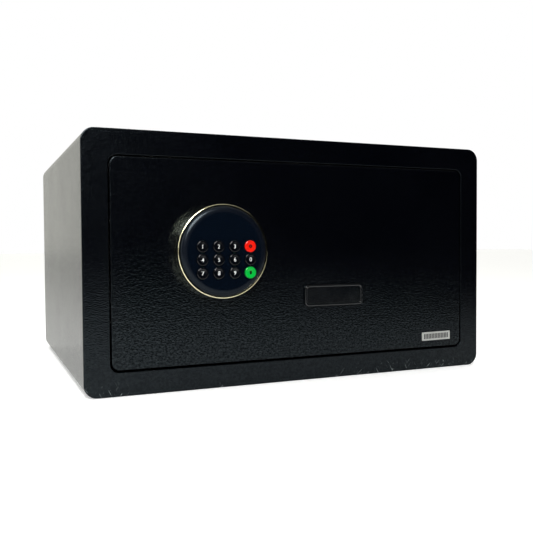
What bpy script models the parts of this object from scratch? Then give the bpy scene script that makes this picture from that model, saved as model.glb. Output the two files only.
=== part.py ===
"""In-room safe: a steel cabinet with a flush, motorised front door.

Metres, +Z up. The origin is at the centre of the underside, and the front faces -Y.
A depth is a distance behind the front face; it is negative for what stands in front of it.
Flat and turned pieces are drawn facing front: X to the right, Y up and Z out of the front.
"""
from math import cos, pi, radians, sin, tau

import bmesh
import bpy
from mathutils import Matrix, Vector

# Cabinet
WIDTH = 0.450
DEPTH = 0.365
HEIGHT = 0.250
CORNER_RADIUS = 0.013
SHELL_WALL = 0.002
FRAME_THICKNESS = 0.003
FRAME_LEFT = 0.0245
FRAME_RIGHT = 0.0235
FRAME_BOTTOM = 0.0225
FRAME_TOP = 0.0240
FIT_GAP = 0.0003
ANCHOR_RADIUS = 0.005
FLOOR_ANCHOR = (0.150, 0.100)
REAR_ANCHOR_X = 0.100
MAT_THICKNESS = 0.002
MAT_WIDTH = 0.4256
MAT_FRONT_DEPTH = 0.026

# Door and its hinge
DOOR_GAP = 0.0015
DOOR_SILL_GAP = 0.0020
DOOR_THICKNESS = 0.005
DOOR_RADIUS = 0.0075
HINGE_INSET = 0.016
HINGE_DEPTH = 0.008
HINGE_PIN_RADIUS = 0.0025
HINGE_LEAF = 0.004
HINGE_LEAF_LIFT = 0.003
HINGE_HALF_WIDTH = 0.012
HINGE_REACH = 0.022
LUG_LENGTH = 0.016
LUG_HALF_WIDTH = 0.008

# Lock case behind the door plate
CASE_WALL = 0.0015
CASE_REAR_DEPTH = 0.040
CASE_LEFT_INSET = 0.0025
CASE_RIGHT_INSET = 0.030
CASE_END_INSET = 0.0055
COVER_THICKNESS = 0.0015
COVER_SCREW_INSET = 0.0095
SCREW_TAB = 0.014

# Bolt work: two round bolts on one bar, driven by a rack and a pinion
BOLT_RADIUS = 0.009
BOLT_DEPTH = 0.0215
BOLT_HEIGHTS = {"lower": 0.075, "upper": 0.175}
BOLT_TIP_INSET = 0.002
BOLT_LENGTH = 0.047
BOLT_NECK_RADIUS = 0.004
BAR_THICKNESS = 0.003
GUIDE_LENGTH = 0.008
GUIDE_WALL = 0.0036
GEAR_MODULE = 0.001
GEAR_TEETH = 14
GEAR_X = -0.130
GEAR_Z = 0.110
RACK_DEPTH = 0.024
RACK_THICKNESS = 0.003
TOOTH_ADDENDUM = 0.0008
TOOTH_DEDENDUM = 0.0011
TOOTH_ROOT_HALF = 0.0008
TOOTH_TIP_HALF = 0.0003

# Round keypad on the front
KEYPAD_X = -0.093
KEYPAD_Z = 0.1352
RING_RADIUS = 0.04575
RING_WALL = 0.0015
RING_HEIGHT = 0.015
FACE_HEIGHT = 0.018
FACE_THICKNESS = 0.002
KEY_RADIUS = 0.00575
KEY_PITCH_X = 0.01625
KEY_PITCH_Z = 0.0128
KEY_GRID_X = 0.0015
KEY_GRID_Z = -0.0080
KEY_PROUD = 0.0016
KEY_BOTTOM = 0.0124
KEY_ROWS = (("key_1", "key_2", "key_3", "key_clear"),
            ("key_4", "key_5", "key_6", "key_0"),
            ("key_7", "key_8", "key_9", "key_enter"))
BOARD_FRONT = 0.0085
BOARD_THICKNESS = 0.0016
SWITCH_HEIGHT = 0.0026

# Emergency key lock under its pull-off cover, and the label
LOCK_X = 0.0345
LOCK_Z = 0.088
LOCK_RADIUS = 0.008
PLUG_RADIUS = 0.005
LOCK_REAR_DEPTH = 0.022
CAM_LENGTH = 0.022
KEY_COVER_SIZE = (0.0685, 0.0223)
KEY_COVER_HEIGHT = 0.003
LABEL_CENTRE = (0.1668, 0.0368)
LABEL_SIZE = (0.0383, 0.0094)
LABEL_TILT = radians(-0.6)

# Electronics and batteries inside the lock case
BATTERY_RADIUS = 0.00725
BATTERY_LENGTH = 0.0505
BATTERY_PITCH = 0.0152
BATTERY_CENTRE = (0.117, 0.127)
TRAY_FRONT_DEPTH = 0.022
CIRCUIT_CENTRE = (-0.045, 0.145)
CIRCUIT_SIZE = (0.078, 0.098)
CIRCUIT_DEPTH = 0.028
RESET_X = -0.030
RESET_Z = 0.186

# Facets
CORNER_STEPS = 7
ROUND_SIDES = 24
LARGE_ROUND_SIDES = 56
SMALL_ROUND_SIDES = 16
MERGE_DISTANCE = 0.00001

# Places that follow from the dimensions
FRONT = -DEPTH / 2
REAR = DEPTH / 2
OPENING = (-WIDTH / 2 + FRAME_LEFT, FRAME_BOTTOM, WIDTH / 2 - FRAME_RIGHT, HEIGHT - FRAME_TOP)
DOOR_LEFT = OPENING[0] + DOOR_GAP
DOOR_BOTTOM = OPENING[1] + DOOR_SILL_GAP
DOOR_RIGHT = OPENING[2] - DOOR_GAP
DOOR_TOP = OPENING[3] - DOOR_GAP
CASE_LEFT = DOOR_LEFT + CASE_LEFT_INSET
CASE_RIGHT = DOOR_RIGHT - CASE_RIGHT_INSET
CASE_BOTTOM = DOOR_BOTTOM + CASE_END_INSET
CASE_TOP = DOOR_TOP - CASE_END_INSET
HINGE_X = DOOR_RIGHT - HINGE_INSET
HINGE_Y = FRONT + HINGE_DEPTH
BOLT_TIP_X = DOOR_LEFT + BOLT_TIP_INSET
BOLT_END_X = BOLT_TIP_X + BOLT_LENGTH
BATTERY_BAY = (BATTERY_LENGTH + 0.0015, 4 * BATTERY_PITCH + 0.0012)
COVER_SCREWS = [(x, z)
                for x in (CASE_LEFT + COVER_SCREW_INSET, CASE_RIGHT - COVER_SCREW_INSET)
                for z in (CASE_BOTTOM + COVER_SCREW_INSET, CASE_TOP - COVER_SCREW_INSET)]
KEYPAD_SCREW_OFFSET = 0.030

FACING_FRONT = (radians(90), 0, 0)
FACING_LEFT = (0, radians(-90), 0)
FACING_RIGHT = (radians(90), 0, radians(90))
UPRIGHT = (0, 0, 0)


# ---------------------------------------------------------------- scene and materials

for old in list(bpy.data.objects):
    bpy.data.objects.remove(old)


def new_collection(name):
    """A new collection in the scene."""
    collection = bpy.data.collections.new(name)
    bpy.context.scene.collection.children.link(collection)
    return collection


PARTS = new_collection("in_room_safe")
CUTTERS = new_collection("cutters")

FINISHES = {
    "black_paint": ((0.012, 0.013, 0.016), 0.45, 0.0),
    "zinc_steel": ((0.62, 0.63, 0.64), 0.35, 1.0),
    "chrome": ((0.80, 0.81, 0.82), 0.12, 1.0),
    "gold": ((0.80, 0.66, 0.36), 0.15, 1.0),
    "brass": ((0.72, 0.55, 0.26), 0.30, 1.0),
    "gloss_black": ((0.008, 0.009, 0.012), 0.10, 0.0),
    "matte_black": ((0.020, 0.020, 0.022), 0.60, 0.0),
    "red": ((0.80, 0.02, 0.01), 0.15, 0.0),
    "green": ((0.01, 0.45, 0.06), 0.15, 0.0),
    "white_plastic": ((0.80, 0.80, 0.78), 0.50, 0.0),
    "carpet": ((0.030, 0.030, 0.035), 0.95, 0.0),
    "board_green": ((0.01, 0.16, 0.06), 0.40, 0.0),
    "battery": ((0.10, 0.10, 0.11), 0.35, 0.0),
    "silver_label": ((0.60, 0.62, 0.60), 0.40, 0.3),
}


def finish_material(name):
    """The named finish as a Principled BSDF, made once."""
    material = bpy.data.materials.get(name)
    if material is None:
        colour, roughness, metallic = FINISHES[name]
        material = bpy.data.materials.new(name)
        material.use_nodes = True
        shader = material.node_tree.nodes["Principled BSDF"]
        shader.inputs["Base Color"].default_value = (*colour, 1)
        shader.inputs["Roughness"].default_value = roughness
        shader.inputs["Metallic"].default_value = metallic
        material.diffuse_color = (*colour, 1)
    return material


# ---------------------------------------------------------------- placing

def pivot(name, location, parent=None):
    """An empty that carries the pieces of one body; its children move with it."""
    empty = bpy.data.objects.new(name, None)
    empty.empty_display_size = 0.02
    PARTS.objects.link(empty)
    place(empty, location, parent)
    return empty


def place(obj, location, parent):
    """Put an object at a world location, under a parent that isn't turned."""
    parent_place = Vector((0, 0, 0))
    ancestor = parent
    while ancestor is not None:
        parent_place += ancestor.location
        ancestor = ancestor.parent
    obj.parent = parent
    obj.location = Vector(location) - parent_place


def add_part(name, mesh, finish, location, parent, rotation=FACING_FRONT):
    """A named piece of the safe."""
    part = bpy.data.objects.new(name, mesh)
    if mesh.polygons:
        mesh.shade_smooth()
        mesh.set_sharp_from_angle(angle=radians(35))
    mesh.materials.clear()
    mesh.materials.append(finish_material(finish))
    PARTS.objects.link(part)
    part.rotation_euler = rotation
    place(part, location, parent)
    return part


def combine(part, mesh, operation, location, rotation=FACING_FRONT):
    """Cut a shape out of a part, or join it on, with a Boolean modifier."""
    number = len(CUTTERS.objects)
    tool = bpy.data.objects.new(f"tool_{number:02d}_{part.name}", mesh)
    CUTTERS.objects.link(tool)
    tool.location = location
    tool.rotation_euler = rotation
    tool.display_type = "WIRE"
    tool.hide_render = True
    tool.hide_set(True)
    modifier = part.modifiers.new(operation.lower(), "BOOLEAN")
    modifier.operation = operation
    modifier.solver = "EXACT"
    modifier.object = tool


# ---------------------------------------------------------------- shapes

def rounded_rectangle(left, bottom, right, top, radius, steps=CORNER_STEPS):
    """The corner points of a rectangle with round corners."""
    corners = ((right - radius, bottom + radius, -90), (right - radius, top - radius, 0),
               (left + radius, top - radius, 90), (left + radius, bottom + radius, 180))
    points = []
    for x, y, start in corners:
        for step in range(steps + 1):
            angle = radians(start + 90 * step / steps)
            points.append((x + radius * cos(angle), y + radius * sin(angle)))
    return points


def centred_rectangle(size, radius, centre=(0, 0)):
    """A rectangle with round corners about a centre."""
    (width, height), (x, y) = size, centre
    return rounded_rectangle(x - width / 2, y - height / 2, x + width / 2, y + height / 2, radius, 4)


def circle(x, y, radius, sides=ROUND_SIDES):
    """The points of a circle."""
    return [(x + radius * cos(tau * side / sides), y + radius * sin(tau * side / sides))
            for side in range(sides)]


def extruded(name, outlines, thickness):
    """A flat plate, centred on its own plane: its edge comes first, then its holes."""
    curve = bpy.data.curves.new(name, "CURVE")
    curve.dimensions = "2D"
    curve.fill_mode = "BOTH"
    curve.extrude = thickness / 2
    for outline in outlines:
        spline = curve.splines.new("POLY")
        spline.points.add(len(outline) - 1)
        for point, (x, y) in zip(spline.points, outline):
            point.co = (x, y, 0, 1)
        spline.use_cyclic_u = True
    source = bpy.data.objects.new(name, curve)
    PARTS.objects.link(source)
    depsgraph = bpy.context.evaluated_depsgraph_get()
    mesh = bpy.data.meshes.new_from_object(source.evaluated_get(depsgraph))
    bpy.data.objects.remove(source)
    bm = bmesh.new()
    bm.from_mesh(mesh)
    bmesh.ops.remove_doubles(bm, verts=bm.verts, dist=MERGE_DISTANCE)
    bmesh.ops.recalc_face_normals(bm, faces=bm.faces)
    bm.to_mesh(mesh)
    bm.free()
    return mesh


def add_turned(name, profile, finish, location, parent, rotation=FACING_FRONT, sides=ROUND_SIDES):
    """A turned piece. Its profile of (radius, height) runs down the outer side.

    A profile that starts and ends off the axis closes on itself, and leaves a bore.
    """
    has_bore = profile[0][0] > 0
    edges = [(i, i + 1) for i in range(len(profile) - 1)]
    if has_bore:
        edges.append((len(profile) - 1, 0))
    mesh = bpy.data.meshes.new(name)
    mesh.from_pydata([(radius, 0, height) for radius, height in profile], edges, [])
    part = add_part(name, mesh, finish, location, parent, rotation)
    screw = part.modifiers.new("turned", "SCREW")
    screw.steps = sides
    screw.render_steps = sides
    screw.use_merge_vertices = True
    screw.merge_threshold = MERGE_DISTANCE
    screw.use_smooth_shade = True
    return part


def cylinders(name, centres, radius, low, high, sides=SMALL_ROUND_SIDES):
    """Closed cylinders along Z, from low to high, at each (x, y) centre."""
    bm = bmesh.new()
    for x, y in centres:
        bmesh.ops.create_cone(bm, cap_ends=True, segments=sides, radius1=radius, radius2=radius,
                              depth=high - low, matrix=Matrix.Translation((x, y, (low + high) / 2)))
    return finished_mesh(name, bm)


def boxes(name, corners):
    """Closed boxes, each from its lowest to its highest corner."""
    bm = bmesh.new()
    for low, high in corners:
        middle = (Vector(low) + Vector(high)) / 2
        size = Vector(high) - Vector(low)
        bmesh.ops.create_cube(bm, size=1, matrix=Matrix.Translation(middle) @ Matrix.Diagonal((*size, 1)))
    return finished_mesh(name, bm)


def finished_mesh(name, bm):
    """The mesh of a bmesh, which is freed."""
    mesh = bpy.data.meshes.new(name)
    bm.to_mesh(mesh)
    bm.free()
    return mesh


def at_depth(x, depth, z):
    """A world point at a depth behind the front face."""
    return (x, FRONT + depth, z)


def add_plate(name, outlines, finish, depth, thickness, parent, centre=(0, 0), tilt=0):
    """A plate parallel to the front, its front face at a depth; outlines are about its centre."""
    mesh = extruded(name, outlines, thickness)
    place_of_plate = at_depth(centre[0], depth + thickness / 2, centre[1])
    return add_part(name, mesh, finish, place_of_plate, parent, (radians(90), tilt, 0))


# ---------------------------------------------------------------- cabinet

def make_cabinet(cabinet):
    """Shell, front frame, rear panel and carpet."""
    outside = rounded_rectangle(-WIDTH / 2, 0, WIDTH / 2, HEIGHT, CORNER_RADIUS)
    inside = rounded_rectangle(-WIDTH / 2 + SHELL_WALL, SHELL_WALL, WIDTH / 2 - SHELL_WALL,
                               HEIGHT - SHELL_WALL, CORNER_RADIUS - SHELL_WALL)
    shell_front = FRAME_THICKNESS + FIT_GAP
    shell = add_plate("body_shell", [outside, inside], "black_paint", shell_front,
                      DEPTH - shell_front, cabinet)
    anchor_x, anchor_y = FLOOR_ANCHOR
    anchors = [(side_x * anchor_x, side_y * anchor_y) for side_x in (-1, 1) for side_y in (-1, 1)]
    combine(shell, cylinders("floor_anchor_holes", anchors, ANCHOR_RADIUS, -SHELL_WALL, 2 * SHELL_WALL),
            "DIFFERENCE", (0, 0, 0), UPRIGHT)

    opening = rounded_rectangle(*OPENING, DOOR_RADIUS + DOOR_GAP)
    add_plate("front_frame", [outside, opening], "black_paint", 0, FRAME_THICKNESS, cabinet)

    inset = SHELL_WALL + FIT_GAP
    panel = rounded_rectangle(-WIDTH / 2 + inset, inset, WIDTH / 2 - inset, HEIGHT - inset,
                              CORNER_RADIUS - inset)
    rear_anchors = [circle(side * REAR_ANCHOR_X, HEIGHT / 2, ANCHOR_RADIUS, SMALL_ROUND_SIDES)
                    for side in (-1, 1)]
    add_plate("rear_panel", [panel, *rear_anchors], "black_paint", DEPTH - SHELL_WALL, SHELL_WALL, cabinet)

    mat_edge = rounded_rectangle(-MAT_WIDTH / 2, FRONT + MAT_FRONT_DEPTH, MAT_WIDTH / 2,
                                 REAR - SHELL_WALL - 2 * FIT_GAP, 0.004, 2)
    mat_holes = [circle(x, y, ANCHOR_RADIUS + 0.002, SMALL_ROUND_SIDES) for x, y in anchors]
    mat = extruded("floor_mat", [mat_edge, *mat_holes], MAT_THICKNESS)
    mat_height = SHELL_WALL + FIT_GAP + MAT_THICKNESS / 2
    add_part("floor_mat", mat, "carpet", (0, 0, mat_height), cabinet, UPRIGHT)


def make_keeper(cabinet):
    """The angle behind the frame's left border, with a square window for each bolt."""
    plate = 0.002
    right = OPENING[0] - 0.003
    left = -WIDTH / 2 + SHELL_WALL + FIT_GAP
    front = FRONT + FRAME_THICKNESS + FIT_GAP
    rear = FRONT + 0.045
    angle = [(right - plate, front), (right, front), (right, rear), (left, rear),
             (left, rear - plate), (right - plate, rear - plate)]
    bottom = OPENING[1] + 0.0075
    top = OPENING[3] - 0.0080
    keeper = add_part("keeper_angle", extruded("keeper_angle", [angle], top - bottom), "zinc_steel",
                      (0, 0, (bottom + top) / 2), cabinet, UPRIGHT)
    reach = BOLT_RADIUS + 0.0015
    bolt_y = FRONT + BOLT_DEPTH
    low_x = right - 2 * plate
    high_x = right + plate
    windows = [((low_x, bolt_y - reach, z - reach), (high_x, bolt_y + reach, z + reach))
               for z in BOLT_HEIGHTS.values()]
    combine(keeper, boxes("keeper_windows", windows), "DIFFERENCE", (0, 0, 0), UPRIGHT)


def make_hinge_half(side, cabinet, door):
    """A bracket on the cabinet, and the lug and pin on the door, at the top or bottom."""
    up = 1 if side == "upper" else -1
    edge_of_opening = OPENING[3] if up > 0 else OPENING[1]
    edge_of_door = DOOR_TOP if up > 0 else DOOR_BOTTOM
    inner_wall = HEIGHT - SHELL_WALL if up > 0 else SHELL_WALL
    leaf = edge_of_opening + up * HINGE_LEAF_LIFT
    flange_end = inner_wall - up * 0.0012 if up > 0 else inner_wall + 0.0030
    front = FRONT + FRAME_THICKNESS + FIT_GAP
    flange_rear = front + 0.002
    rear = FRONT + HINGE_REACH
    profile = [(front, leaf), (rear, leaf), (rear, leaf + up * HINGE_LEAF),
               (flange_rear, leaf + up * HINGE_LEAF), (flange_rear, flange_end), (front, flange_end)]
    bracket = add_part(f"hinge_bracket_{side}",
                       extruded("hinge_bracket", [profile], 2 * HINGE_HALF_WIDTH), "zinc_steel",
                       (HINGE_X, 0, 0), cabinet, FACING_RIGHT)
    pin_hole = cylinders("bracket_hole", [(0, 0)], HINGE_PIN_RADIUS + FIT_GAP, -0.01, 0.01)
    combine(bracket, pin_hole, "DIFFERENCE", (HINGE_X, HINGE_Y, leaf), UPRIGHT)

    lug_front = DOOR_THICKNESS + FIT_GAP - HINGE_DEPTH
    lug_outline = rounded_rectangle(-LUG_HALF_WIDTH, lug_front, LUG_HALF_WIDTH, 0.006, 0.0015, 2)
    bore = circle(0, 0, HINGE_PIN_RADIUS + 0.0001, SMALL_ROUND_SIDES)
    lug_middle = edge_of_door - up * (0.0025 + LUG_LENGTH / 2)
    add_part(f"hinge_lug_{side}", extruded("hinge_lug", [lug_outline, bore], LUG_LENGTH), "zinc_steel",
             (HINGE_X, HINGE_Y, lug_middle), door, UPRIGHT)

    pin_start = lug_middle - up * (LUG_LENGTH / 2 - 0.0005)
    pin_end = leaf + up * (HINGE_LEAF + 0.0005)
    low, high = sorted((pin_start - lug_middle, pin_end - lug_middle))
    pin_profile = [(0, high), (HINGE_PIN_RADIUS - 0.0004, high), (HINGE_PIN_RADIUS, high - 0.0004),
                   (HINGE_PIN_RADIUS, low + 0.0004), (HINGE_PIN_RADIUS - 0.0004, low), (0, low)]
    add_turned(f"hinge_pin_{side}", pin_profile, "chrome", (HINGE_X, HINGE_Y, lug_middle), door,
               UPRIGHT, SMALL_ROUND_SIDES)


# ---------------------------------------------------------------- door

def make_door_plate(door):
    """The flush plate, with holes for the keypad, the key lock and its cover."""
    edge = rounded_rectangle(DOOR_LEFT, DOOR_BOTTOM, DOOR_RIGHT, DOOR_TOP, DOOR_RADIUS)
    cable_hole = circle(KEYPAD_X, KEYPAD_Z, 0.009)
    screw_holes = [circle(KEYPAD_X + side * KEYPAD_SCREW_OFFSET, KEYPAD_Z, 0.0022, 12)
                   for side in (-1, 1)]
    lock_hole = circle(LOCK_X, LOCK_Z, LOCK_RADIUS + FIT_GAP)
    peg_holes = [circle(LOCK_X + x, LOCK_Z, 0.0023, 12) for x in cover_peg_places()]
    add_plate("door_plate", [edge, cable_hole, *screw_holes, lock_hole, *peg_holes], "black_paint",
              0, DOOR_THICKNESS, door)


def make_lock_case(door):
    """The sheet case behind the plate, with tabs for the cover's screws and holes for the bolts."""
    outside = rounded_rectangle(CASE_LEFT, CASE_BOTTOM, CASE_RIGHT, CASE_TOP, 0.004, 3)
    inside = rounded_rectangle(CASE_LEFT + CASE_WALL, CASE_BOTTOM + CASE_WALL, CASE_RIGHT - CASE_WALL,
                               CASE_TOP - CASE_WALL, 0.0025, 3)
    front = DOOR_THICKNESS + FIT_GAP
    case = add_plate("lock_case", [outside, inside], "black_paint", front, CASE_REAR_DEPTH - front, door)
    reach = COVER_SCREW_INSET - CASE_WALL / 2
    tab_boxes = []
    for x, z in COVER_SCREWS:
        low_x = x - reach if x < 0 else x + reach - SCREW_TAB
        low_z = z - reach if z < HEIGHT / 2 else z + reach - SCREW_TAB
        rear = FRONT + CASE_REAR_DEPTH
        tab_boxes.append(((low_x, rear - 0.002, low_z), (low_x + SCREW_TAB, rear, low_z + SCREW_TAB)))
    combine(case, boxes("screw_tabs", tab_boxes), "UNION", (0, 0, 0), UPRIGHT)
    threads = cylinders("screw_threads", COVER_SCREWS, 0.0018, -CASE_REAR_DEPTH - 0.001,
                        -CASE_REAR_DEPTH + 0.004, 12)
    combine(case, threads, "DIFFERENCE", (0, FRONT, 0))
    bolt_holes = cylinders("case_bolt_holes", [(height, 0) for height in BOLT_HEIGHTS.values()],
                           BOLT_RADIUS + 0.0006, -0.004, 0.004, ROUND_SIDES)
    combine(case, bolt_holes, "DIFFERENCE", (CASE_LEFT + CASE_WALL / 2, FRONT + BOLT_DEPTH, 0),
            FACING_LEFT)


def make_case_cover(door):
    """The inner cover, with its battery hatch, reset button hole and four screws."""
    lap = 0.0005
    edge = rounded_rectangle(CASE_LEFT - lap, CASE_BOTTOM - lap, CASE_RIGHT + lap, CASE_TOP + lap, 0.004, 3)
    hatch = centred_rectangle(BATTERY_BAY, 0.002, BATTERY_CENTRE)
    reset_hole = circle(RESET_X, RESET_Z, 0.003, SMALL_ROUND_SIDES)
    screw_holes = [circle(x, z, 0.0018, 12) for x, z in COVER_SCREWS]
    depth = CASE_REAR_DEPTH + FIT_GAP
    add_plate("case_cover", [edge, hatch, reset_hole, *screw_holes], "black_paint", depth,
              COVER_THICKNESS, door)
    head_seat = -(depth + COVER_THICKNESS + FIT_GAP)
    screw_profile = [(0, 0.0052), (0.0015, 0.0052), (0.0015, 0), (0.0028, 0), (0.0028, -0.0010),
                     (0.0016, -0.0018), (0, -0.0018)]
    for number, (x, z) in enumerate(COVER_SCREWS, 1):
        add_turned(f"cover_screw_{number}", screw_profile, "zinc_steel", at_depth(x, -head_seat, z),
                   door, sides=12)


# ---------------------------------------------------------------- bolt work

def make_bolts(door, carriage):
    """Bolts on their bar, and the bushes that guide them."""
    bar_left = BOLT_END_X + FIT_GAP
    for side, height in BOLT_HEIGHTS.items():
        axis = at_depth(BOLT_END_X, BOLT_DEPTH, height)
        profile = [(0, BOLT_LENGTH), (BOLT_RADIUS - 0.0015, BOLT_LENGTH),
                   (BOLT_RADIUS, BOLT_LENGTH - 0.0015), (BOLT_RADIUS, 0), (BOLT_NECK_RADIUS, 0),
                   (BOLT_NECK_RADIUS, -BAR_THICKNESS - 0.0012), (0, -BAR_THICKNESS - 0.0012)]
        add_turned(f"bolt_{side}", profile, "chrome", axis, carriage, FACING_LEFT)
        inner = BOLT_RADIUS + 0.0004
        outer = inner + GUIDE_WALL
        bush = [(inner, GUIDE_LENGTH), (outer, GUIDE_LENGTH), (outer, 0), (inner, 0)]
        bush_x = CASE_LEFT + CASE_WALL + FIT_GAP + GUIDE_LENGTH
        add_turned(f"bolt_guide_{side}", bush, "white_plastic", at_depth(bush_x, BOLT_DEPTH, height),
                   door, FACING_LEFT)

    half_width = 0.0095
    ends = [height + step for height, step in zip(BOLT_HEIGHTS.values(), (-0.015, 0.015))]
    edge = rounded_rectangle(-half_width, ends[0], half_width, ends[1], 0.003, 2)
    necks = [circle(0, height, BOLT_NECK_RADIUS + FIT_GAP, SMALL_ROUND_SIDES)
             for height in BOLT_HEIGHTS.values()]
    bar = extruded("bolt_bar", [edge, *necks], BAR_THICKNESS)
    add_part("bolt_bar", bar, "zinc_steel", at_depth(bar_left + BAR_THICKNESS / 2, BOLT_DEPTH, 0),
             carriage, FACING_RIGHT)


def rack_outline():
    """The rack about the pinion's centre, its teeth down; a tooth stands at the centre."""
    pitch_line = GEAR_MODULE * GEAR_TEETH / 2
    tip = pitch_line - TOOTH_ADDENDUM
    root = pitch_line + TOOTH_DEDENDUM
    back = pitch_line + 0.008
    left = BOLT_END_X + 2 * FIT_GAP + BAR_THICKNESS - GEAR_X
    right = 0.0225
    points = [(left, back), (left, root)]
    for tooth in range(-1, 7):
        middle = tooth * pi * GEAR_MODULE
        points.append((middle - TOOTH_ROOT_HALF, root))
        points.append((middle - TOOTH_TIP_HALF, tip))
        points.append((middle + TOOTH_TIP_HALF, tip))
        points.append((middle + TOOTH_ROOT_HALF, root))
    points.append((right, root))
    points.append((right, back))
    return points


def pinion_outline():
    """The pinion, with a gap between two teeth at its top."""
    pitch_radius = GEAR_MODULE * GEAR_TEETH / 2
    tip = pitch_radius + TOOTH_ADDENDUM
    root = pitch_radius - TOOTH_DEDENDUM
    points = []
    for tooth in range(GEAR_TEETH):
        middle = pi / 2 + tau * (tooth + 0.5) / GEAR_TEETH
        for radius, half in ((root, -TOOTH_ROOT_HALF), (tip, -TOOTH_TIP_HALF),
                             (tip, TOOTH_TIP_HALF), (root, TOOTH_ROOT_HALF)):
            angle = middle + half / radius
            points.append((radius * cos(angle), radius * sin(angle)))
    return points


def make_drive(door, carriage, pinion):
    """Rack and pinion, gearbox and motor."""
    add_plate("bolt_rack", [rack_outline()], "zinc_steel", RACK_DEPTH, RACK_THICKNESS, carriage,
              (GEAR_X, GEAR_Z))
    shaft_radius = 0.0015
    add_plate("drive_gear", [pinion_outline(), circle(0, 0, shaft_radius + FIT_GAP, 12)], "brass",
              RACK_DEPTH - FIT_GAP, RACK_THICKNESS + 2 * FIT_GAP, pinion, (GEAR_X, GEAR_Z))
    half = 0.012
    box_front = 0.009
    box_rear = 0.023
    gearbox_mesh = boxes("gearbox", [((-half, -half, -box_rear), (half, half, -box_front))])
    gearbox = add_part("gearbox", gearbox_mesh, "matte_black", at_depth(GEAR_X, 0, GEAR_Z), door)
    shaft = cylinders("gearbox_shaft", [(0, 0)], shaft_radius, -0.030, -box_rear + 0.002, 12)
    combine(gearbox, shaft, "UNION", at_depth(GEAR_X, 0, GEAR_Z))
    motor_radius = 0.0075
    top = -half - FIT_GAP
    bottom = top - 0.035
    motor_profile = [(0, top), (motor_radius, top), (motor_radius, bottom + 0.001),
                     (motor_radius - 0.001, bottom), (0.003, bottom), (0.003, bottom - 0.002),
                     (0, bottom - 0.002)]
    add_turned("motor", motor_profile, "zinc_steel", at_depth(GEAR_X, (box_front + box_rear) / 2, GEAR_Z),
               door, UPRIGHT)


# ---------------------------------------------------------------- keypad

def key_places():
    """Each key's name and its place about the keypad's centre."""
    for row, names in enumerate(KEY_ROWS):
        for column, name in enumerate(names):
            x = KEY_GRID_X + (column - 1.5) * KEY_PITCH_X
            y = KEY_GRID_Z - (row - 1) * KEY_PITCH_Z
            yield name, x, y


def make_keypad(door):
    """Ring, housing, face, board, display and fixing screws of the round keypad."""
    centre = at_depth(KEYPAD_X, 0, KEYPAD_Z)
    inner = RING_RADIUS - RING_WALL
    ring = [(inner + 0.0003, RING_HEIGHT), (RING_RADIUS - 0.0005, RING_HEIGHT),
            (RING_RADIUS, RING_HEIGHT - 0.0005), (RING_RADIUS, FIT_GAP), (inner, FIT_GAP),
            (inner, RING_HEIGHT - 0.0005)]
    add_turned("keypad_ring", ring, "gold", centre, door, sides=LARGE_ROUND_SIDES)

    wall = inner - FIT_GAP
    rim = 0.0119
    floor = 0.0023
    housing_profile = [(wall - 0.00175, rim), (wall, rim), (wall, FIT_GAP), (0.007, FIT_GAP),
                       (0.007, floor), (wall - 0.00175, floor)]
    housing = add_turned("keypad_housing", housing_profile, "matte_black", centre, door,
                         sides=LARGE_ROUND_SIDES)
    screws = [(-KEYPAD_SCREW_OFFSET, 0), (KEYPAD_SCREW_OFFSET, 0)]
    board_rear = BOARD_FRONT - BOARD_THICKNESS
    combine(housing, cylinders("bosses", screws, 0.004, 0.0010, board_rear - FIT_GAP), "UNION", centre)
    combine(housing, cylinders("boss_bores", screws, 0.0022, -0.001, 0.010, 12), "DIFFERENCE", centre)
    for side, (x, y) in zip(("left", "right"), screws):
        head = DOOR_THICKNESS + FIT_GAP
        profile = [(0, 0.0060), (0.0018, 0.0060), (0.0018, -head), (0.0035, -head),
                   (0.0035, -head - 0.0024), (0, -head - 0.0024)]
        add_turned(f"keypad_screw_{side}", profile, "zinc_steel",
                   at_depth(KEYPAD_X + x, 0, KEYPAD_Z + y), door, sides=12)

    under = FACE_HEIGHT - FACE_THICKNESS
    skirt = rim + FIT_GAP
    face_profile = [(0, FACE_HEIGHT), (0.0375, FACE_HEIGHT), (0.0392, FACE_HEIGHT - 0.0003),
                    (0.0415, FACE_HEIGHT - 0.0013), (0.0432, FACE_HEIGHT - 0.0026),
                    (wall, FACE_HEIGHT - 0.0036), (wall, skirt), (wall - 0.002, skirt),
                    (wall - 0.002, under - 0.0007), (wall - 0.0027, under), (0, under)]
    face = add_turned("keypad_face", face_profile, "gloss_black", centre, door, sides=LARGE_ROUND_SIDES)
    places = [(x, y) for _, x, y in key_places()]
    key_holes = cylinders("key_holes", places, KEY_RADIUS + FIT_GAP, under - 0.002, FACE_HEIGHT + 0.002, 20)
    combine(face, key_holes, "DIFFERENCE", centre)

    board_mesh = cylinders("keypad_board", [(0, 0)], 0.0415, board_rear, BOARD_FRONT, 40)
    board = add_part("keypad_board", board_mesh, "board_green", centre, door)
    half = 0.003
    switch_low = BOARD_FRONT - 0.0005
    switch_high = BOARD_FRONT + SWITCH_HEIGHT
    switches = [((x - half, y - half, switch_low), (x + half, y + half, switch_high)) for x, y in places]
    combine(board, boxes("key_switches", switches), "UNION", centre)
    display_corners = ((-0.017, 0.0150, BOARD_FRONT + FIT_GAP), (0.017, 0.0290, under - FIT_GAP))
    display = boxes("display_module", [display_corners])
    add_part("display_module", display, "gloss_black", centre, door)


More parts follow.
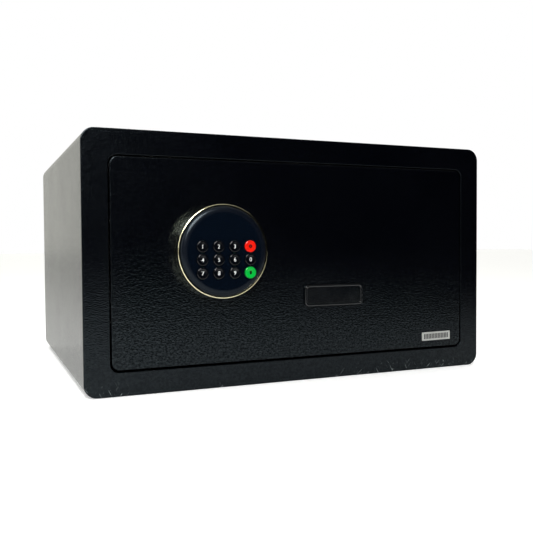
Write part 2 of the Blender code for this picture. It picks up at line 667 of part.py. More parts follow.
def make_keys(door):
    """Twelve keys, each held by two ears under the face."""
    top = FACE_HEIGHT + KEY_PROUD
    ear_top = FACE_HEIGHT - FACE_THICKNESS - FIT_GAP
    profile = [(0, top - 0.0004), (KEY_RADIUS - 0.0020, top - 0.0002), (KEY_RADIUS - 0.0010, top),
               (KEY_RADIUS, top - 0.0010), (KEY_RADIUS, KEY_BOTTOM), (0, KEY_BOTTOM)]
    finishes = {"key_clear": "red", "key_enter": "green"}
    for name, x, y in key_places():
        place_of_key = at_depth(KEYPAD_X + x, 0, KEYPAD_Z + y)
        carrier = pivot(f"{name}_travel", place_of_key, door)
        key = add_turned(name, profile, finishes.get(name, "gloss_black"), place_of_key, carrier,
                         sides=SMALL_ROUND_SIDES)
        ears = boxes("ears", [((-0.0072, -0.0025, ear_top - 0.001), (0.0072, 0.0025, ear_top))])
        combine(key, ears, "UNION", place_of_key)


# ---------------------------------------------------------------- emergency lock and label

def cover_peg_places():
    """How far left and right of the lock the cover's pegs stand."""
    return (-0.027, 0.027)


def make_lock(door, plug_pivot):
    """Barrel and nut on the door; plug and cam turn."""
    axis = at_depth(LOCK_X, 0, LOCK_Z)
    bore = PLUG_RADIUS + FIT_GAP
    barrel = [(bore, 0.0013), (0.0089, 0.0013), (0.0089, FIT_GAP), (LOCK_RADIUS, FIT_GAP),
              (LOCK_RADIUS, -LOCK_REAR_DEPTH), (bore, -LOCK_REAR_DEPTH)]
    add_turned("lock_barrel", barrel, "chrome", axis, door)
    nut_hole = circle(0, 0, LOCK_RADIUS + FIT_GAP)
    add_plate("lock_nut", [circle(0, 0, 0.0125, 6), nut_hole], "zinc_steel", DOOR_THICKNESS + FIT_GAP,
              0.004, door, (LOCK_X, LOCK_Z))
    neck = 0.0025
    rear = -LOCK_REAR_DEPTH - FIT_GAP
    plug_profile = [(0, 0.0010), (PLUG_RADIUS, 0.0010), (PLUG_RADIUS, rear), (neck, rear),
                    (neck, rear - 0.004), (0, rear - 0.004)]
    plug = add_turned("lock_plug", plug_profile, "brass", axis, plug_pivot, sides=20)
    key_slot = boxes("key_slot", [((-0.0006, -0.0035, -0.012), (0.0006, 0.0035, 0.002))])
    combine(plug, key_slot, "DIFFERENCE", axis)
    hub = 0.0065
    tip = 0.0045
    steps = 8
    hub_arc = [(hub * cos(pi * i / steps), hub * sin(pi * i / steps)) for i in range(steps + 1)]
    tip_arc = [(-tip * cos(pi * i / steps), tip - CAM_LENGTH - tip * sin(pi * i / steps))
               for i in range(steps + 1)]
    add_plate("lock_cam", [hub_arc + tip_arc, circle(0, 0, neck + FIT_GAP, 12)], "zinc_steel",
              LOCK_REAR_DEPTH + 2 * FIT_GAP, 0.002, plug_pivot, (LOCK_X, LOCK_Z))


def make_key_cover(cover_pivot):
    """The blank cover over the key lock: a raised rim, a hollow back and two pegs."""
    centre = at_depth(LOCK_X, 0, LOCK_Z)
    width, height = KEY_COVER_SIZE
    mesh = extruded("key_cover", [centred_rectangle(KEY_COVER_SIZE, 0.004)], KEY_COVER_HEIGHT)
    middle = FIT_GAP + KEY_COVER_HEIGHT / 2
    cover = add_part("key_cover", mesh, "gloss_black", at_depth(LOCK_X, -middle, LOCK_Z), cover_pivot)
    rim = 0.0022
    panel = extruded("panel", [centred_rectangle((width - 2 * rim, height - 2 * rim), 0.0025)], 0.0012)
    combine(cover, panel, "DIFFERENCE", at_depth(LOCK_X, -FIT_GAP - KEY_COVER_HEIGHT, LOCK_Z))
    side = 0.0019
    hollow = extruded("hollow", [centred_rectangle((width - 2 * side, height - 2 * side), 0.0020)], 0.0032)
    combine(cover, hollow, "DIFFERENCE", at_depth(LOCK_X, -FIT_GAP, LOCK_Z))
    pegs = cylinders("pegs", [(x, 0) for x in cover_peg_places()], 0.0019, -0.004, 0.0023, 12)
    combine(cover, pegs, "UNION", centre)


def make_label(door):
    """A plain label near the door's lower right corner."""
    add_plate("door_label", [centred_rectangle(LABEL_SIZE, 0.0006)], "silver_label", -0.0003, 0.0002,
              door, LABEL_CENTRE, LABEL_TILT)


# ---------------------------------------------------------------- electronics and batteries

def make_circuit(door, reset_pivot):
    """The main board on its spacers, and the reset button that reaches it."""
    x, z = CIRCUIT_CENTRE
    width, height = CIRCUIT_SIZE
    board = add_plate("circuit_board", [centred_rectangle(CIRCUIT_SIZE, 0.002)], "board_green",
                      CIRCUIT_DEPTH, BOARD_THICKNESS, door, CIRCUIT_CENTRE)
    spacers = [(side_x * (width / 2 - 0.005), side_z * (height / 2 - 0.005))
               for side_x in (-1, 1) for side_z in (-1, 1)]
    spacer_mesh = cylinders("spacers", spacers, 0.0025, -CIRCUIT_DEPTH - 0.001, -DOOR_THICKNESS - FIT_GAP, 8)
    combine(board, spacer_mesh, "UNION", at_depth(x, 0, z))
    rear = -CIRCUIT_DEPTH - BOARD_THICKNESS
    bury = 0.0005
    components = [((-0.020, -0.040, rear - 0.0060), (0.010, -0.034, rear + bury)),
                  ((-0.010, -0.020, rear - 0.0020), (0.008, -0.002, rear + bury)),
                  ((-0.034, 0.004, rear - 0.0085), (-0.018, 0.024, rear + bury)),
                  ((0.022, -0.012, rear - 0.0070), (0.032, 0.010, rear + bury)),
                  ((RESET_X - x - 0.003, RESET_Z - z - 0.003, rear - 0.0044),
                   (RESET_X - x + 0.003, RESET_Z - z + 0.003, rear + bury))]
    combine(board, boxes("components", components), "UNION", at_depth(x, 0, z))
    button = [(0, -0.0370), (0.0042, -0.0370), (0.0042, -0.0382), (0.0026, -0.0382), (0.0026, -0.0430),
              (0.0022, -0.0434), (0, -0.0434)]
    add_turned("reset_button", button, "red", at_depth(RESET_X, 0, RESET_Z), reset_pivot, sides=12)


def make_battery_bay(door, hatch_pivot):
    """The battery tray with its four cells, and the hatch over them."""
    x, z = BATTERY_CENTRE
    bay_width, bay_height = BATTERY_BAY
    wall = 0.0015
    tray_depth = CASE_REAR_DEPTH - TRAY_FRONT_DEPTH
    tray_edge = centred_rectangle((bay_width + 2 * wall, bay_height + 2 * wall), 0.002)
    tray = add_plate("battery_tray", [tray_edge], "matte_black", TRAY_FRONT_DEPTH, tray_depth, door,
                     BATTERY_CENTRE)
    bay = extruded("bay", [centred_rectangle(BATTERY_BAY, 0.001)], tray_depth)
    combine(tray, bay, "DIFFERENCE", at_depth(x, CASE_REAR_DEPTH - tray_depth / 2 + wall, z))

    cell_depth = TRAY_FRONT_DEPTH + wall + FIT_GAP + BATTERY_RADIUS
    half = BATTERY_LENGTH / 2
    cell = [(0, half), (0.0027, half), (0.0027, half - 0.0012), (BATTERY_RADIUS, half - 0.0014),
            (BATTERY_RADIUS, -half), (0, -half)]
    for number in range(4):
        cell_z = z + (number - 1.5) * BATTERY_PITCH
        direction = FACING_LEFT if number % 2 else (0, radians(90), 0)
        add_turned(f"battery_{number + 1}", cell, "battery", at_depth(x, cell_depth, cell_z), door,
                   direction, SMALL_ROUND_SIDES)

    clear = 2 * FIT_GAP
    hatch_size = (bay_width - clear, bay_height - clear)
    hatch_depth = CASE_REAR_DEPTH + FIT_GAP
    hatch = add_plate("battery_hatch", [centred_rectangle(hatch_size, 0.0018)], "matte_black",
                      hatch_depth, COVER_THICKNESS, hatch_pivot, BATTERY_CENTRE)
    hatch_rear = -hatch_depth - COVER_THICKNESS
    grip_z = bay_height / 2 - 0.006
    grip_low = (-0.008, grip_z - 0.001, hatch_rear - 0.002)
    grip_high = (0.008, grip_z + 0.001, hatch_rear + 0.0007)
    combine(hatch, boxes("grip", [(grip_low, grip_high)]), "UNION", at_depth(x, 0, z))


# ---------------------------------------------------------------- assembly

def make_safe():
    """Every piece of the safe, under the pivot of the body that it moves with."""
    cabinet = pivot("cabinet", (0, 0, 0))
    door = pivot("door_pivot", (HINGE_X, HINGE_Y, HEIGHT / 2), cabinet)
    carriage = pivot("bolt_travel", at_depth(BOLT_END_X, BOLT_DEPTH, HEIGHT / 2), door)
    pinion = pivot("pinion_axis", at_depth(GEAR_X, RACK_DEPTH, GEAR_Z), door)
    plug_pivot = pivot("plug_axis", at_depth(LOCK_X, 0, LOCK_Z), door)
    cover_pivot = pivot("key_cover_travel", at_depth(LOCK_X, 0, LOCK_Z), door)
    reset_pivot = pivot("reset_travel", at_depth(RESET_X, CASE_REAR_DEPTH, RESET_Z), door)
    hatch_pivot = pivot("hatch_travel", at_depth(BATTERY_CENTRE[0], CASE_REAR_DEPTH, BATTERY_CENTRE[1]), door)

    make_cabinet(cabinet)
    make_keeper(cabinet)
    for side in ("upper", "lower"):
        make_hinge_half(side, cabinet, door)
    make_door_plate(door)
    make_lock_case(door)
    make_case_cover(door)
    make_bolts(door, carriage)
    make_drive(door, carriage, pinion)
    make_keypad(door)
    make_keys(door)
    make_lock(door, plug_pivot)
    make_key_cover(cover_pivot)
    make_label(door)
    make_circuit(door, reset_pivot)
    make_battery_bay(door, hatch_pivot)


make_safe()
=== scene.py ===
"""The looks of the in-room safe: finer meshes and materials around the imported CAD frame.

Metres, +Z up, front towards -Y, as in the CAD. Places come from the frame's nodes.
"""
from math import cos, pi, radians, sin, tau

import bmesh
import bpy
from mathutils import Matrix, Vector


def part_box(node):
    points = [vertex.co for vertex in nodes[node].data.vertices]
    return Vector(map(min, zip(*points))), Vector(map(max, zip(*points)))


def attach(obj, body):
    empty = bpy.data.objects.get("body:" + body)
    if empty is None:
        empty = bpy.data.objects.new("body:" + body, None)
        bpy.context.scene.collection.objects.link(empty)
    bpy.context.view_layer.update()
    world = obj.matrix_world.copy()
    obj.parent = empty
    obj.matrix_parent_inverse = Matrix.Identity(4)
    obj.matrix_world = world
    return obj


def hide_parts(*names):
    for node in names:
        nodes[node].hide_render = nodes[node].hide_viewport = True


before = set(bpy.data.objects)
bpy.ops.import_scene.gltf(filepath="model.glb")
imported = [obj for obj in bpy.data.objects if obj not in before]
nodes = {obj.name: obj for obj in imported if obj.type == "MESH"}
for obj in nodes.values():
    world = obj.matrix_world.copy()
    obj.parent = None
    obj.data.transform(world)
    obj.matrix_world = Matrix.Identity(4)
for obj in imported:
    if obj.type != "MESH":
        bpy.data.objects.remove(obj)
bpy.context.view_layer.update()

# ---------------------------------------------------------------- places and sizes

CABINET_LOW, CABINET_HIGH = (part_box("body_shell")[0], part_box("body_shell")[1])
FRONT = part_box("front_frame")[0].y
REAR = CABINET_HIGH.y
WIDTH = CABINET_HIGH.x - CABINET_LOW.x
HEIGHT = CABINET_HIGH.z
DOOR_LOW, DOOR_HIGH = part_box("door_plate")
KEYPAD = (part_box("keypad_ring")[0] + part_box("keypad_ring")[1]) / 2
KEYPAD_X, KEYPAD_Z = KEYPAD.x, KEYPAD.z
COVER_LOW, COVER_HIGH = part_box("key_cover")
LABEL_LOW, LABEL_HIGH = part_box("door_label")

CORNER_RADIUS = 0.013
SHELL_WALL = 0.002
FRAME_THICKNESS = 0.003
DOOR_THICKNESS = 0.005
DOOR_GAP = 0.0015
SILL_GAP = 0.0020
DOOR_RADIUS = 0.0075
RING_RADIUS = 0.04575
RING_WALL = 0.0015
RING_HEIGHT = 0.015
FACE_RADIUS = 0.04395
FACE_HEIGHT = 0.018
KEY_RADIUS = 0.00575
KEY_HOLE_RADIUS = 0.00605
KEY_PROUD = 0.0016
COVER_CENTRE = (COVER_LOW + COVER_HIGH) / 2
PEG_REACH = 0.027
ANCHORS = [(x, y) for x in (-0.150, 0.150) for y in (-0.100, 0.100)]
ANCHOR_RADIUS = 0.005

OPENING = (DOOR_LOW.x - DOOR_GAP, DOOR_LOW.z - SILL_GAP, DOOR_HIGH.x + DOOR_GAP, DOOR_HIGH.z + DOOR_GAP)


# ---------------------------------------------------------------- mesh helpers

def collection(name):
    """A new collection in the scene."""
    made = bpy.data.collections.new(name)
    bpy.context.scene.collection.children.link(made)
    return made


PIECES = collection("safe_looks")
TOOLS = collection("tools")


def rounded_loop(left, bottom, right, top, radius, steps=12):
    """Points of a rectangle with round corners, anticlockwise."""
    corners = ((right - radius, bottom + radius, -90), (right - radius, top - radius, 0),
               (left + radius, top - radius, 90), (left + radius, bottom + radius, 180))
    points = []
    for x, y, start in corners:
        for step in range(steps + 1):
            angle = radians(start + 90 * step / steps)
            points.append((x + radius * cos(angle), y + radius * sin(angle)))
    return points


def circle(x, y, radius, sides=32):
    """Points of a circle, clockwise, as a hole in a plate."""
    return [(x + radius * cos(tau * side / sides), y - radius * sin(tau * side / sides))
            for side in range(sides)]


def quarter(start, end, leaves, steps=5):
    """Points of a quarter ellipse from start to end, which leaves its start along X or along Y."""
    (x0, y0), (x1, y1) = start, end
    points = []
    for step in range(steps + 1):
        angle = pi / 2 * step / steps
        if leaves == "Y":
            points.append((x1 + (x0 - x1) * cos(angle), y0 + (y1 - y0) * sin(angle)))
        else:
            points.append((x0 + (x1 - x0) * sin(angle), y1 + (y0 - y1) * cos(angle)))
    return points


def new_object(name, mesh, material, smooth_angle=32, weighted=True):
    """A piece with its material, smooth but for its sharp edges."""
    mesh.materials.clear()
    mesh.materials.append(material)
    piece = bpy.data.objects.new(name, mesh)
    PIECES.objects.link(piece)
    shade(piece, smooth_angle, weighted)
    return piece


def shade(piece, smooth_angle=32, weighted=True):
    """Smooth shading that leaves sharp edges sharp and flat faces flat."""
    piece.data.shade_smooth()
    piece.data.set_sharp_from_angle(angle=radians(smooth_angle))
    if weighted:
        normals = piece.modifiers.new("flat faces stay flat", "WEIGHTED_NORMAL")
        normals.keep_sharp = True
        normals.weight = 100


def closed_mesh(name, bm):
    """A mesh from a bmesh, with its faces turned outward."""
    bmesh.ops.recalc_face_normals(bm, faces=bm.faces)
    mesh = bpy.data.meshes.new(name)
    bm.to_mesh(mesh)
    bm.free()
    return mesh


def skin_mesh(name, loops, cap_start=False, cap_end=False, wrap=False):
    """Quads between loops of equally many points, with flat caps or the last loop joined to the first."""
    bm = bmesh.new()
    rings = [[bm.verts.new(point) for point in loop] for loop in loops]
    pairs = list(zip(rings, rings[1:]))
    if wrap:
        pairs.append((rings[-1], rings[0]))
    count = len(rings[0])
    for first, second in pairs:
        for i in range(count):
            j = (i + 1) % count
            bm.faces.new((first[i], first[j], second[j], second[i]))
    if cap_start:
        bm.faces.new(rings[0])
    if cap_end:
        bm.faces.new(rings[-1])
    return closed_mesh(name, bm)


def lathe_mesh(name, profile, sides=96, closed=False):
    """A turned mesh about Z from (radius, height) points; a closed profile leaves a bore."""
    bm = bmesh.new()
    rings = []
    for radius, height in profile:
        if radius < 1e-7:
            rings.append([bm.verts.new((0, 0, height))])
        else:
            rings.append([bm.verts.new((radius * cos(tau * i / sides), radius * sin(tau * i / sides), height))
                          for i in range(sides)])
    pairs = list(zip(rings, rings[1:]))
    if closed:
        pairs.append((rings[-1], rings[0]))
    for first, second in pairs:
        for i in range(sides):
            j = (i + 1) % sides
            corners = [first[i % len(first)], first[j % len(first)],
                       second[j % len(second)], second[i % len(second)]]
            face = list(dict.fromkeys(corners))
            if len(face) > 2:
                bm.faces.new(face)
    return closed_mesh(name, bm)


def plate_mesh(name, outlines, thickness, edge):
    """A plate centred on its plane with rounded edges; the first outline is its edge, then its holes."""
    curve = bpy.data.curves.new(name, "CURVE")
    curve.dimensions = "2D"
    curve.fill_mode = "BOTH"
    curve.extrude = thickness / 2 - edge
    curve.bevel_depth = edge
    curve.bevel_resolution = 3
    curve.offset = -edge
    for outline in outlines:
        spline = curve.splines.new("POLY")
        spline.points.add(len(outline) - 1)
        for point, (x, y) in zip(spline.points, outline):
            point.co = (x, y, 0, 1)
        spline.use_cyclic_u = True
    source = bpy.data.objects.new(name, curve)
    PIECES.objects.link(source)
    mesh = bpy.data.meshes.new_from_object(source.evaluated_get(bpy.context.evaluated_depsgraph_get()))
    bpy.data.objects.remove(source)
    bm = bmesh.new()
    bm.from_mesh(mesh)
    bmesh.ops.remove_doubles(bm, verts=bm.verts, dist=0.000005)
    return closed_mesh(name, bm)


def box_shell(bm, low, high):
    """Add a closed box to a bmesh."""
    middle = (Vector(low) + Vector(high)) / 2
    size = Vector(high) - Vector(low)
    bmesh.ops.create_cube(bm, size=1, matrix=Matrix.Translation(middle) @ Matrix.Diagonal((*size, 1)))


def boxes_mesh(name, corners):
    """Closed boxes, each from its lowest to its highest corner."""
    bm = bmesh.new()
    for low, high in corners:
        box_shell(bm, low, high)
    return closed_mesh(name, bm)


def join_meshes(name, meshes):
    """Several meshes in one."""
    bm = bmesh.new()
    for mesh in meshes:
        bm.from_mesh(mesh)
    return closed_mesh(name, bm)


def moved(mesh, x, y, z):
    """A mesh, shifted."""
    mesh.transform(Matrix.Translation((x, y, z)))
    return mesh


def middle_of(name):
    """The middle of a node's box."""
    low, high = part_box(name)
    return (low + high) / 2


def face_rear(piece, x, y, z):
    """Turn a piece drawn in XY so that its Z goes back into the safe, and put it in place."""
    piece.rotation_euler = (radians(-90), 0, 0)
    piece.location = (x, y, z)


def face_front(piece, x, y, z):
    """Turn a piece drawn in XY so that its Z comes out of the front, and put it in place."""
    piece.rotation_euler = (radians(90), 0, 0)
    piece.location = (x, y, z)


def apply_modifiers(piece):
    """Fix the mesh as its modifiers make it."""
    depsgraph = bpy.context.evaluated_depsgraph_get()
    mesh = bpy.data.meshes.new_from_object(piece.evaluated_get(depsgraph))
    piece.modifiers.clear()
    piece.data = mesh


def subtract(piece, centres, radius, low, high, sides=40):
    """Drill holes along the piece's Z at each (x, y)."""
    bm = bmesh.new()
    for x, y in centres:
        bmesh.ops.create_cone(bm, cap_ends=True, segments=sides, radius1=radius, radius2=radius,
                              depth=high - low, matrix=Matrix.Translation((x, y, (low + high) / 2)))
    mesh = bpy.data.meshes.new("drill")
    bm.to_mesh(mesh)
    bm.free()
    drill(piece, mesh)


def drill(piece, mesh):
    """Cut a mesh, given in the piece's own space, out of the piece."""
    tool = bpy.data.objects.new("drill", mesh)
    TOOLS.objects.link(tool)
    tool.matrix_world = piece.matrix_basis
    piece.modifiers.clear()
    cut = piece.modifiers.new("holes", "BOOLEAN")
    cut.operation = "DIFFERENCE"
    cut.solver = "EXACT"
    cut.object = tool
    apply_modifiers(piece)
    bpy.data.objects.remove(tool)
    shade(piece)


# ---------------------------------------------------------------- materials

MAP_RANGE_SOCKETS = ("From Min", "From Max", "To Min", "To Max")


class Surface:
    """A Principled material and short calls for its texture nodes."""

    def __init__(self, name, colour, roughness, metallic=0.0, specular=0.5):
        self.material = bpy.data.materials.new(name)
        self.material.use_nodes = True
        self.tree = self.material.node_tree
        self.shader = self.tree.nodes["Principled BSDF"]
        self.set("Base Color", (*colour, 1))
        self.set("Roughness", roughness)
        self.set("Metallic", metallic)
        self.set("Specular IOR Level", specular)
        self.place = self.node("ShaderNodeTexCoord").outputs["Object"]

    def set(self, socket, value):
        """Set a socket of the shader."""
        self.shader.inputs[socket].default_value = value

    def node(self, kind, **settings):
        """A new node with its properties set."""
        made = self.tree.nodes.new(kind)
        for key, value in settings.items():
            setattr(made, key, value)
        return made

    def link(self, source, target):
        """Join an output to an input."""
        self.tree.links.new(source, target)

    def stretch(self, x, y, z):
        """The object's coordinates, scaled along each axis."""
        mapping = self.node("ShaderNodeMapping")
        mapping.inputs["Scale"].default_value = (x, y, z)
        self.link(self.place, mapping.inputs["Vector"])
        return mapping.outputs["Vector"]

    def noise(self, scale, detail=2.0, roughness=0.5, vector=None, distortion=0.0):
        """Noise from 0 to 1, its scale in features per metre."""
        made = self.node("ShaderNodeTexNoise")
        made.inputs["Scale"].default_value = scale
        made.inputs["Detail"].default_value = detail
        made.inputs["Roughness"].default_value = roughness
        made.inputs["Distortion"].default_value = distortion
        self.link(vector or self.place, made.inputs["Vector"])
        return made.outputs["Fac"]

    def cells(self, scale, vector=None):
        """Distance to the nearest cell centre."""
        made = self.node("ShaderNodeTexVoronoi", feature="F1")
        made.inputs["Scale"].default_value = scale
        self.link(vector or self.place, made.inputs["Vector"])
        return made.outputs["Distance"]

    def fibres(self, lean):
        """Thin short strokes on the front, leaning by an angle."""
        mapping = self.node("ShaderNodeMapping", vector_type="TEXTURE")
        mapping.inputs["Rotation"].default_value = (0, lean, 0)
        mapping.inputs["Scale"].default_value = (1 / 800, 1 / 800, 1 / 100)
        self.link(self.place, mapping.inputs["Vector"])
        return self.remap(self.noise(1.0, 2.0, 0.5, mapping.outputs["Vector"], 0.8), 0.66, 0.74)

    def rings(self, distance, scale):
        """Noise that changes only with a distance, so it draws fine circles."""
        joined = self.node("ShaderNodeCombineXYZ")
        self.link(distance, joined.inputs["X"])
        return self.noise(scale, 2.0, 0.6, joined.outputs["Vector"])

    def warped(self, scale, distance):
        """The object's coordinates, bent by noise over a distance in metres."""
        bend = self.node("ShaderNodeTexNoise")
        bend.inputs["Scale"].default_value = scale
        self.link(self.place, bend.inputs["Vector"])
        centred = self.node("ShaderNodeVectorMath", operation="MULTIPLY_ADD")
        self.link(bend.outputs["Color"], centred.inputs[0])
        centred.inputs[1].default_value = (distance,) * 3
        self.link(self.place, centred.inputs[2])
        return centred.outputs["Vector"]

    def remap(self, value, low, high, to_low=0.0, to_high=1.0):
        """A value mapped linearly from one range to another, and clamped."""
        made = self.node("ShaderNodeMapRange")
        for socket, number in zip(MAP_RANGE_SOCKETS, (low, high, to_low, to_high)):
            made.inputs[socket].default_value = number
        self.link(value, made.inputs["Value"])
        return made.outputs["Result"]

    def math(self, operation, first, second):
        """Arithmetic on two outputs or numbers."""
        made = self.node("ShaderNodeMath", operation=operation)
        for socket, value in zip(made.inputs, (first, second)):
            if isinstance(value, (int, float)):
                socket.default_value = value
            else:
                self.link(value, socket)
        return made.outputs["Value"]

    def mix(self, factor, first, second):
        """A colour between two colours or colour outputs."""
        made = self.node("ShaderNodeMix", data_type="RGBA")
        self.link(factor, made.inputs["Factor"])
        for socket, colour in ((made.inputs[6], first), (made.inputs[7], second)):
            if isinstance(colour, tuple):
                socket.default_value = (*colour, 1)
            else:
                self.link(colour, socket)
        return made.outputs[2]

    def colour(self, output):
        """Take the base colour from an output."""
        self.link(output, self.shader.inputs["Base Color"])

    def roughness(self, output):
        """Take the roughness from an output."""
        self.link(output, self.shader.inputs["Roughness"])

    def level(self, output):
        """Take the strength of the reflections from an output."""
        self.link(output, self.shader.inputs["Specular IOR Level"])

    def bump(self, height, distance, strength=1.0):
        """Raise the surface by a height field; distance is its depth in metres."""
        made = self.node("ShaderNodeBump")
        made.inputs["Strength"].default_value = strength
        made.inputs["Distance"].default_value = distance
        self.link(height, made.inputs["Height"])
        self.link(made.outputs["Normal"], self.shader.inputs["Normal"])

    def axis(self, name):
        """One of the object's coordinates, in metres."""
        made = self.node("ShaderNodeSeparateXYZ")
        self.link(self.place, made.inputs["Vector"])
        return made.outputs[name]


COAT_SPECULAR = 0.27


def powder_coat(name, grain_depth, scuffed=False):
    """Black powder coat: a fine wrinkle, a grain in its reflections, and lint and scuffs low on the front."""
    surface = Surface(name, (0.0008, 0.0011, 0.0020), 0.17, specular=COAT_SPECULAR)
    surface.set("Specular Tint", (0.76, 0.92, 1.0, 1))
    wrinkle = surface.cells(760, surface.warped(600, 0.0005))
    pits = surface.noise(1100, 1.0, 0.5)
    height = surface.math("ADD", surface.math("MULTIPLY", wrinkle, 0.8),
                          surface.math("MULTIPLY", pits, 0.5))
    surface.bump(height, 0.00020, 0.6)
    grain = surface.noise(430, 1.0, 0.4)
    surface.level(surface.remap(grain, 0.32, 0.68, COAT_SPECULAR - grain_depth, COAT_SPECULAR + grain_depth))
    cloud = surface.noise(9, 3.0, 0.6)
    fine = surface.noise(300, 2.0, 0.5)
    gloss = surface.math("ADD", surface.remap(cloud, 0.3, 0.7, 0.15, 0.19),
                         surface.remap(fine, 0.3, 0.7, -0.02, 0.03))
    surface.roughness(gloss)
    shade_of_black = surface.mix(surface.remap(cloud, 0.3, 0.7), (0.0004, 0.0006, 0.0014),
                                 (0.0009, 0.0011, 0.0020))
    if scuffed:
        low = surface.remap(surface.axis("Z"), 0.003, 0.015, 1.0, 0.0)
        patches = surface.remap(surface.noise(13, 1.0, 0.5), 0.51, 0.60)
        lint = surface.math("MAXIMUM", surface.fibres(0.7), surface.fibres(-0.5))
        lint = surface.math("MULTIPLY", surface.math("MULTIPLY", lint, patches), low)
        shade_of_black = surface.mix(lint, shade_of_black, (0.22, 0.25, 0.25))
    surface.colour(shade_of_black)
    return surface.material


def polished_gold():
    """Pale gold plate, polished, with faint turning lines and small scratches."""
    surface = Surface("pale_gold_plate", (0.86, 0.76, 0.48), 0.12, metallic=1.0)
    lines = surface.noise(1.0, 2.0, 0.5, surface.stretch(25, 25, 2600))
    specks = surface.noise(900, 2.0, 0.6)
    surface.roughness(surface.remap(surface.math("MULTIPLY", lines, specks), 0.10, 0.45, 0.08, 0.20))
    surface.bump(lines, 0.000004, 0.5)
    tone = surface.noise(45, 2.0, 0.5)
    surface.colour(surface.mix(surface.remap(tone, 0.35, 0.65), (0.93, 0.87, 0.60), (0.85, 0.79, 0.52)))
    return surface.material


def gloss_plastic(name, colour, darker, roughness, specular, dust_gloss=0.25, dull_flanks=False):
    """Glossy moulded plastic with faint waves, fingerprints and dust; a key's flanks can be dull."""
    surface = Surface(name, colour, roughness, specular=specular)
    smear = surface.noise(70, 4.0, 0.65, distortion=0.8)
    dust = surface.noise(2600, 1.0, 0.5)
    gloss = surface.math("ADD", surface.remap(smear, 0.35, 0.70, roughness, roughness + 0.06),
                         surface.remap(dust, 0.62, 0.72, 0.0, dust_gloss))
    surface.roughness(gloss)
    surface.colour(surface.mix(surface.remap(smear, 0.3, 0.7), colour, darker))
    if dull_flanks:
        top = FACE_HEIGHT + KEY_PROUD
        surface.level(surface.remap(surface.axis("Z"), top - 0.0005, top - 0.0001, 0.03, specular))
    surface.bump(surface.noise(160, 1.0, 0.5), 0.00002, 0.35)
    return surface.material


def keypad_plastic():
    """Glossy near-black face with a finely spun rim; the rim's colour is a little lighter, partly its spun
    finish, partly painted sheen of the sloped rim.
    """
    surface = Surface("keypad_face_plastic", (0.0015, 0.0033, 0.0070), 0.07, specular=0.18)
    surface.set("Specular Tint", (0.78, 0.92, 1.0, 1))
    x = surface.axis("X")
    y = surface.axis("Y")
    squares = surface.math("ADD", surface.math("POWER", x, 2.0), surface.math("POWER", y, 2.0))
    distance = surface.math("SQRT", squares, 0)
    rim = surface.remap(distance, 0.0366, 0.0382)
    spun = surface.rings(distance, 2600)
    smear = surface.noise(70, 4.0, 0.65, distortion=0.8)
    polish = surface.remap(smear, 0.35, 0.70, 0.06, 0.11)
    rim_roughness = surface.math("MULTIPLY", rim, surface.remap(spun, 0.3, 0.7, 0.10, 0.24))
    surface.roughness(surface.math("ADD", polish, rim_roughness))
    # the rim is coloured a little lighter than the flat face: partly the spun finish, partly a painted sheen
    # of the sloped rim
    surface.colour(surface.mix(rim, (0.0015, 0.0033, 0.0070), (0.0028, 0.0042, 0.0078)))
    return surface.material


def matte_plastic(name, colour, darker):
    """Spark-textured moulded plastic."""
    surface = Surface(name, colour, 0.55)
    spark = surface.noise(2200, 2.0, 0.6)
    surface.bump(spark, 0.00006, 0.6)
    tone = surface.noise(30, 3.0, 0.6)
    surface.roughness(surface.remap(tone, 0.3, 0.7, 0.48, 0.62))
    surface.colour(surface.mix(surface.remap(tone, 0.3, 0.7), colour, darker))
    return surface.material


def zinc_plate():
    """Zinc-plated steel: mottled and faintly rolled."""
    surface = Surface("zinc_plated_steel", (0.60, 0.61, 0.60), 0.34, metallic=1.0)
    mottle = surface.cells(260)
    rolled = surface.noise(1.0, 3.0, 0.6, surface.stretch(60, 900, 900))
    surface.roughness(surface.remap(surface.math("ADD", mottle, rolled), 0.3, 1.2, 0.26, 0.46))
    surface.colour(surface.mix(surface.remap(mottle, 0.1, 0.8), (0.64, 0.65, 0.66), (0.52, 0.53, 0.50)))
    surface.bump(rolled, 0.00002, 0.4)
    return surface.material


def chrome_plate():
    """Bright plate with fine grinding lines along the bolts."""
    surface = Surface("chrome_plate", (0.80, 0.81, 0.83), 0.10, metallic=1.0)
    lines = surface.noise(1.0, 2.0, 0.5, surface.stretch(1800, 1800, 120))
    surface.roughness(surface.remap(lines, 0.3, 0.7, 0.07, 0.18))
    tone = surface.noise(120, 2.0, 0.5)
    surface.colour(surface.mix(surface.remap(tone, 0.3, 0.7), (0.82, 0.83, 0.85), (0.70, 0.71, 0.73)))
    surface.bump(lines, 0.000004, 0.4)
    return surface.material


def machined_brass():
    """Turned brass."""
    surface = Surface("machined_brass", (0.70, 0.52, 0.24), 0.26, metallic=1.0)
    lines = surface.noise(1.0, 2.0, 0.5, surface.stretch(150, 150, 3000))
    tone = surface.noise(200, 3.0, 0.6)
    surface.roughness(surface.remap(lines, 0.3, 0.7, 0.20, 0.36))
    surface.colour(surface.mix(surface.remap(tone, 0.3, 0.7), (0.74, 0.56, 0.27), (0.56, 0.40, 0.17)))
    surface.bump(lines, 0.00001, 0.4)
    return surface.material


def felt_carpet():
    """Needle-felt carpet: matted fibres with flecks."""
    surface = Surface("needle_felt", (0.030, 0.030, 0.034), 0.95, specular=0.2)
    fibres = surface.noise(1.0, 4.0, 0.7, surface.stretch(900, 900, 900), 2.5)
    tufts = surface.noise(220, 3.0, 0.65)
    surface.colour(surface.mix(surface.remap(fibres, 0.35, 0.68), (0.012, 0.012, 0.014),
                               (0.085, 0.085, 0.092)))
    surface.bump(surface.math("ADD", fibres, surface.math("MULTIPLY", tufts, 0.6)), 0.0009, 0.8)
    surface.set("Sheen Weight", 0.4)
    return surface.material


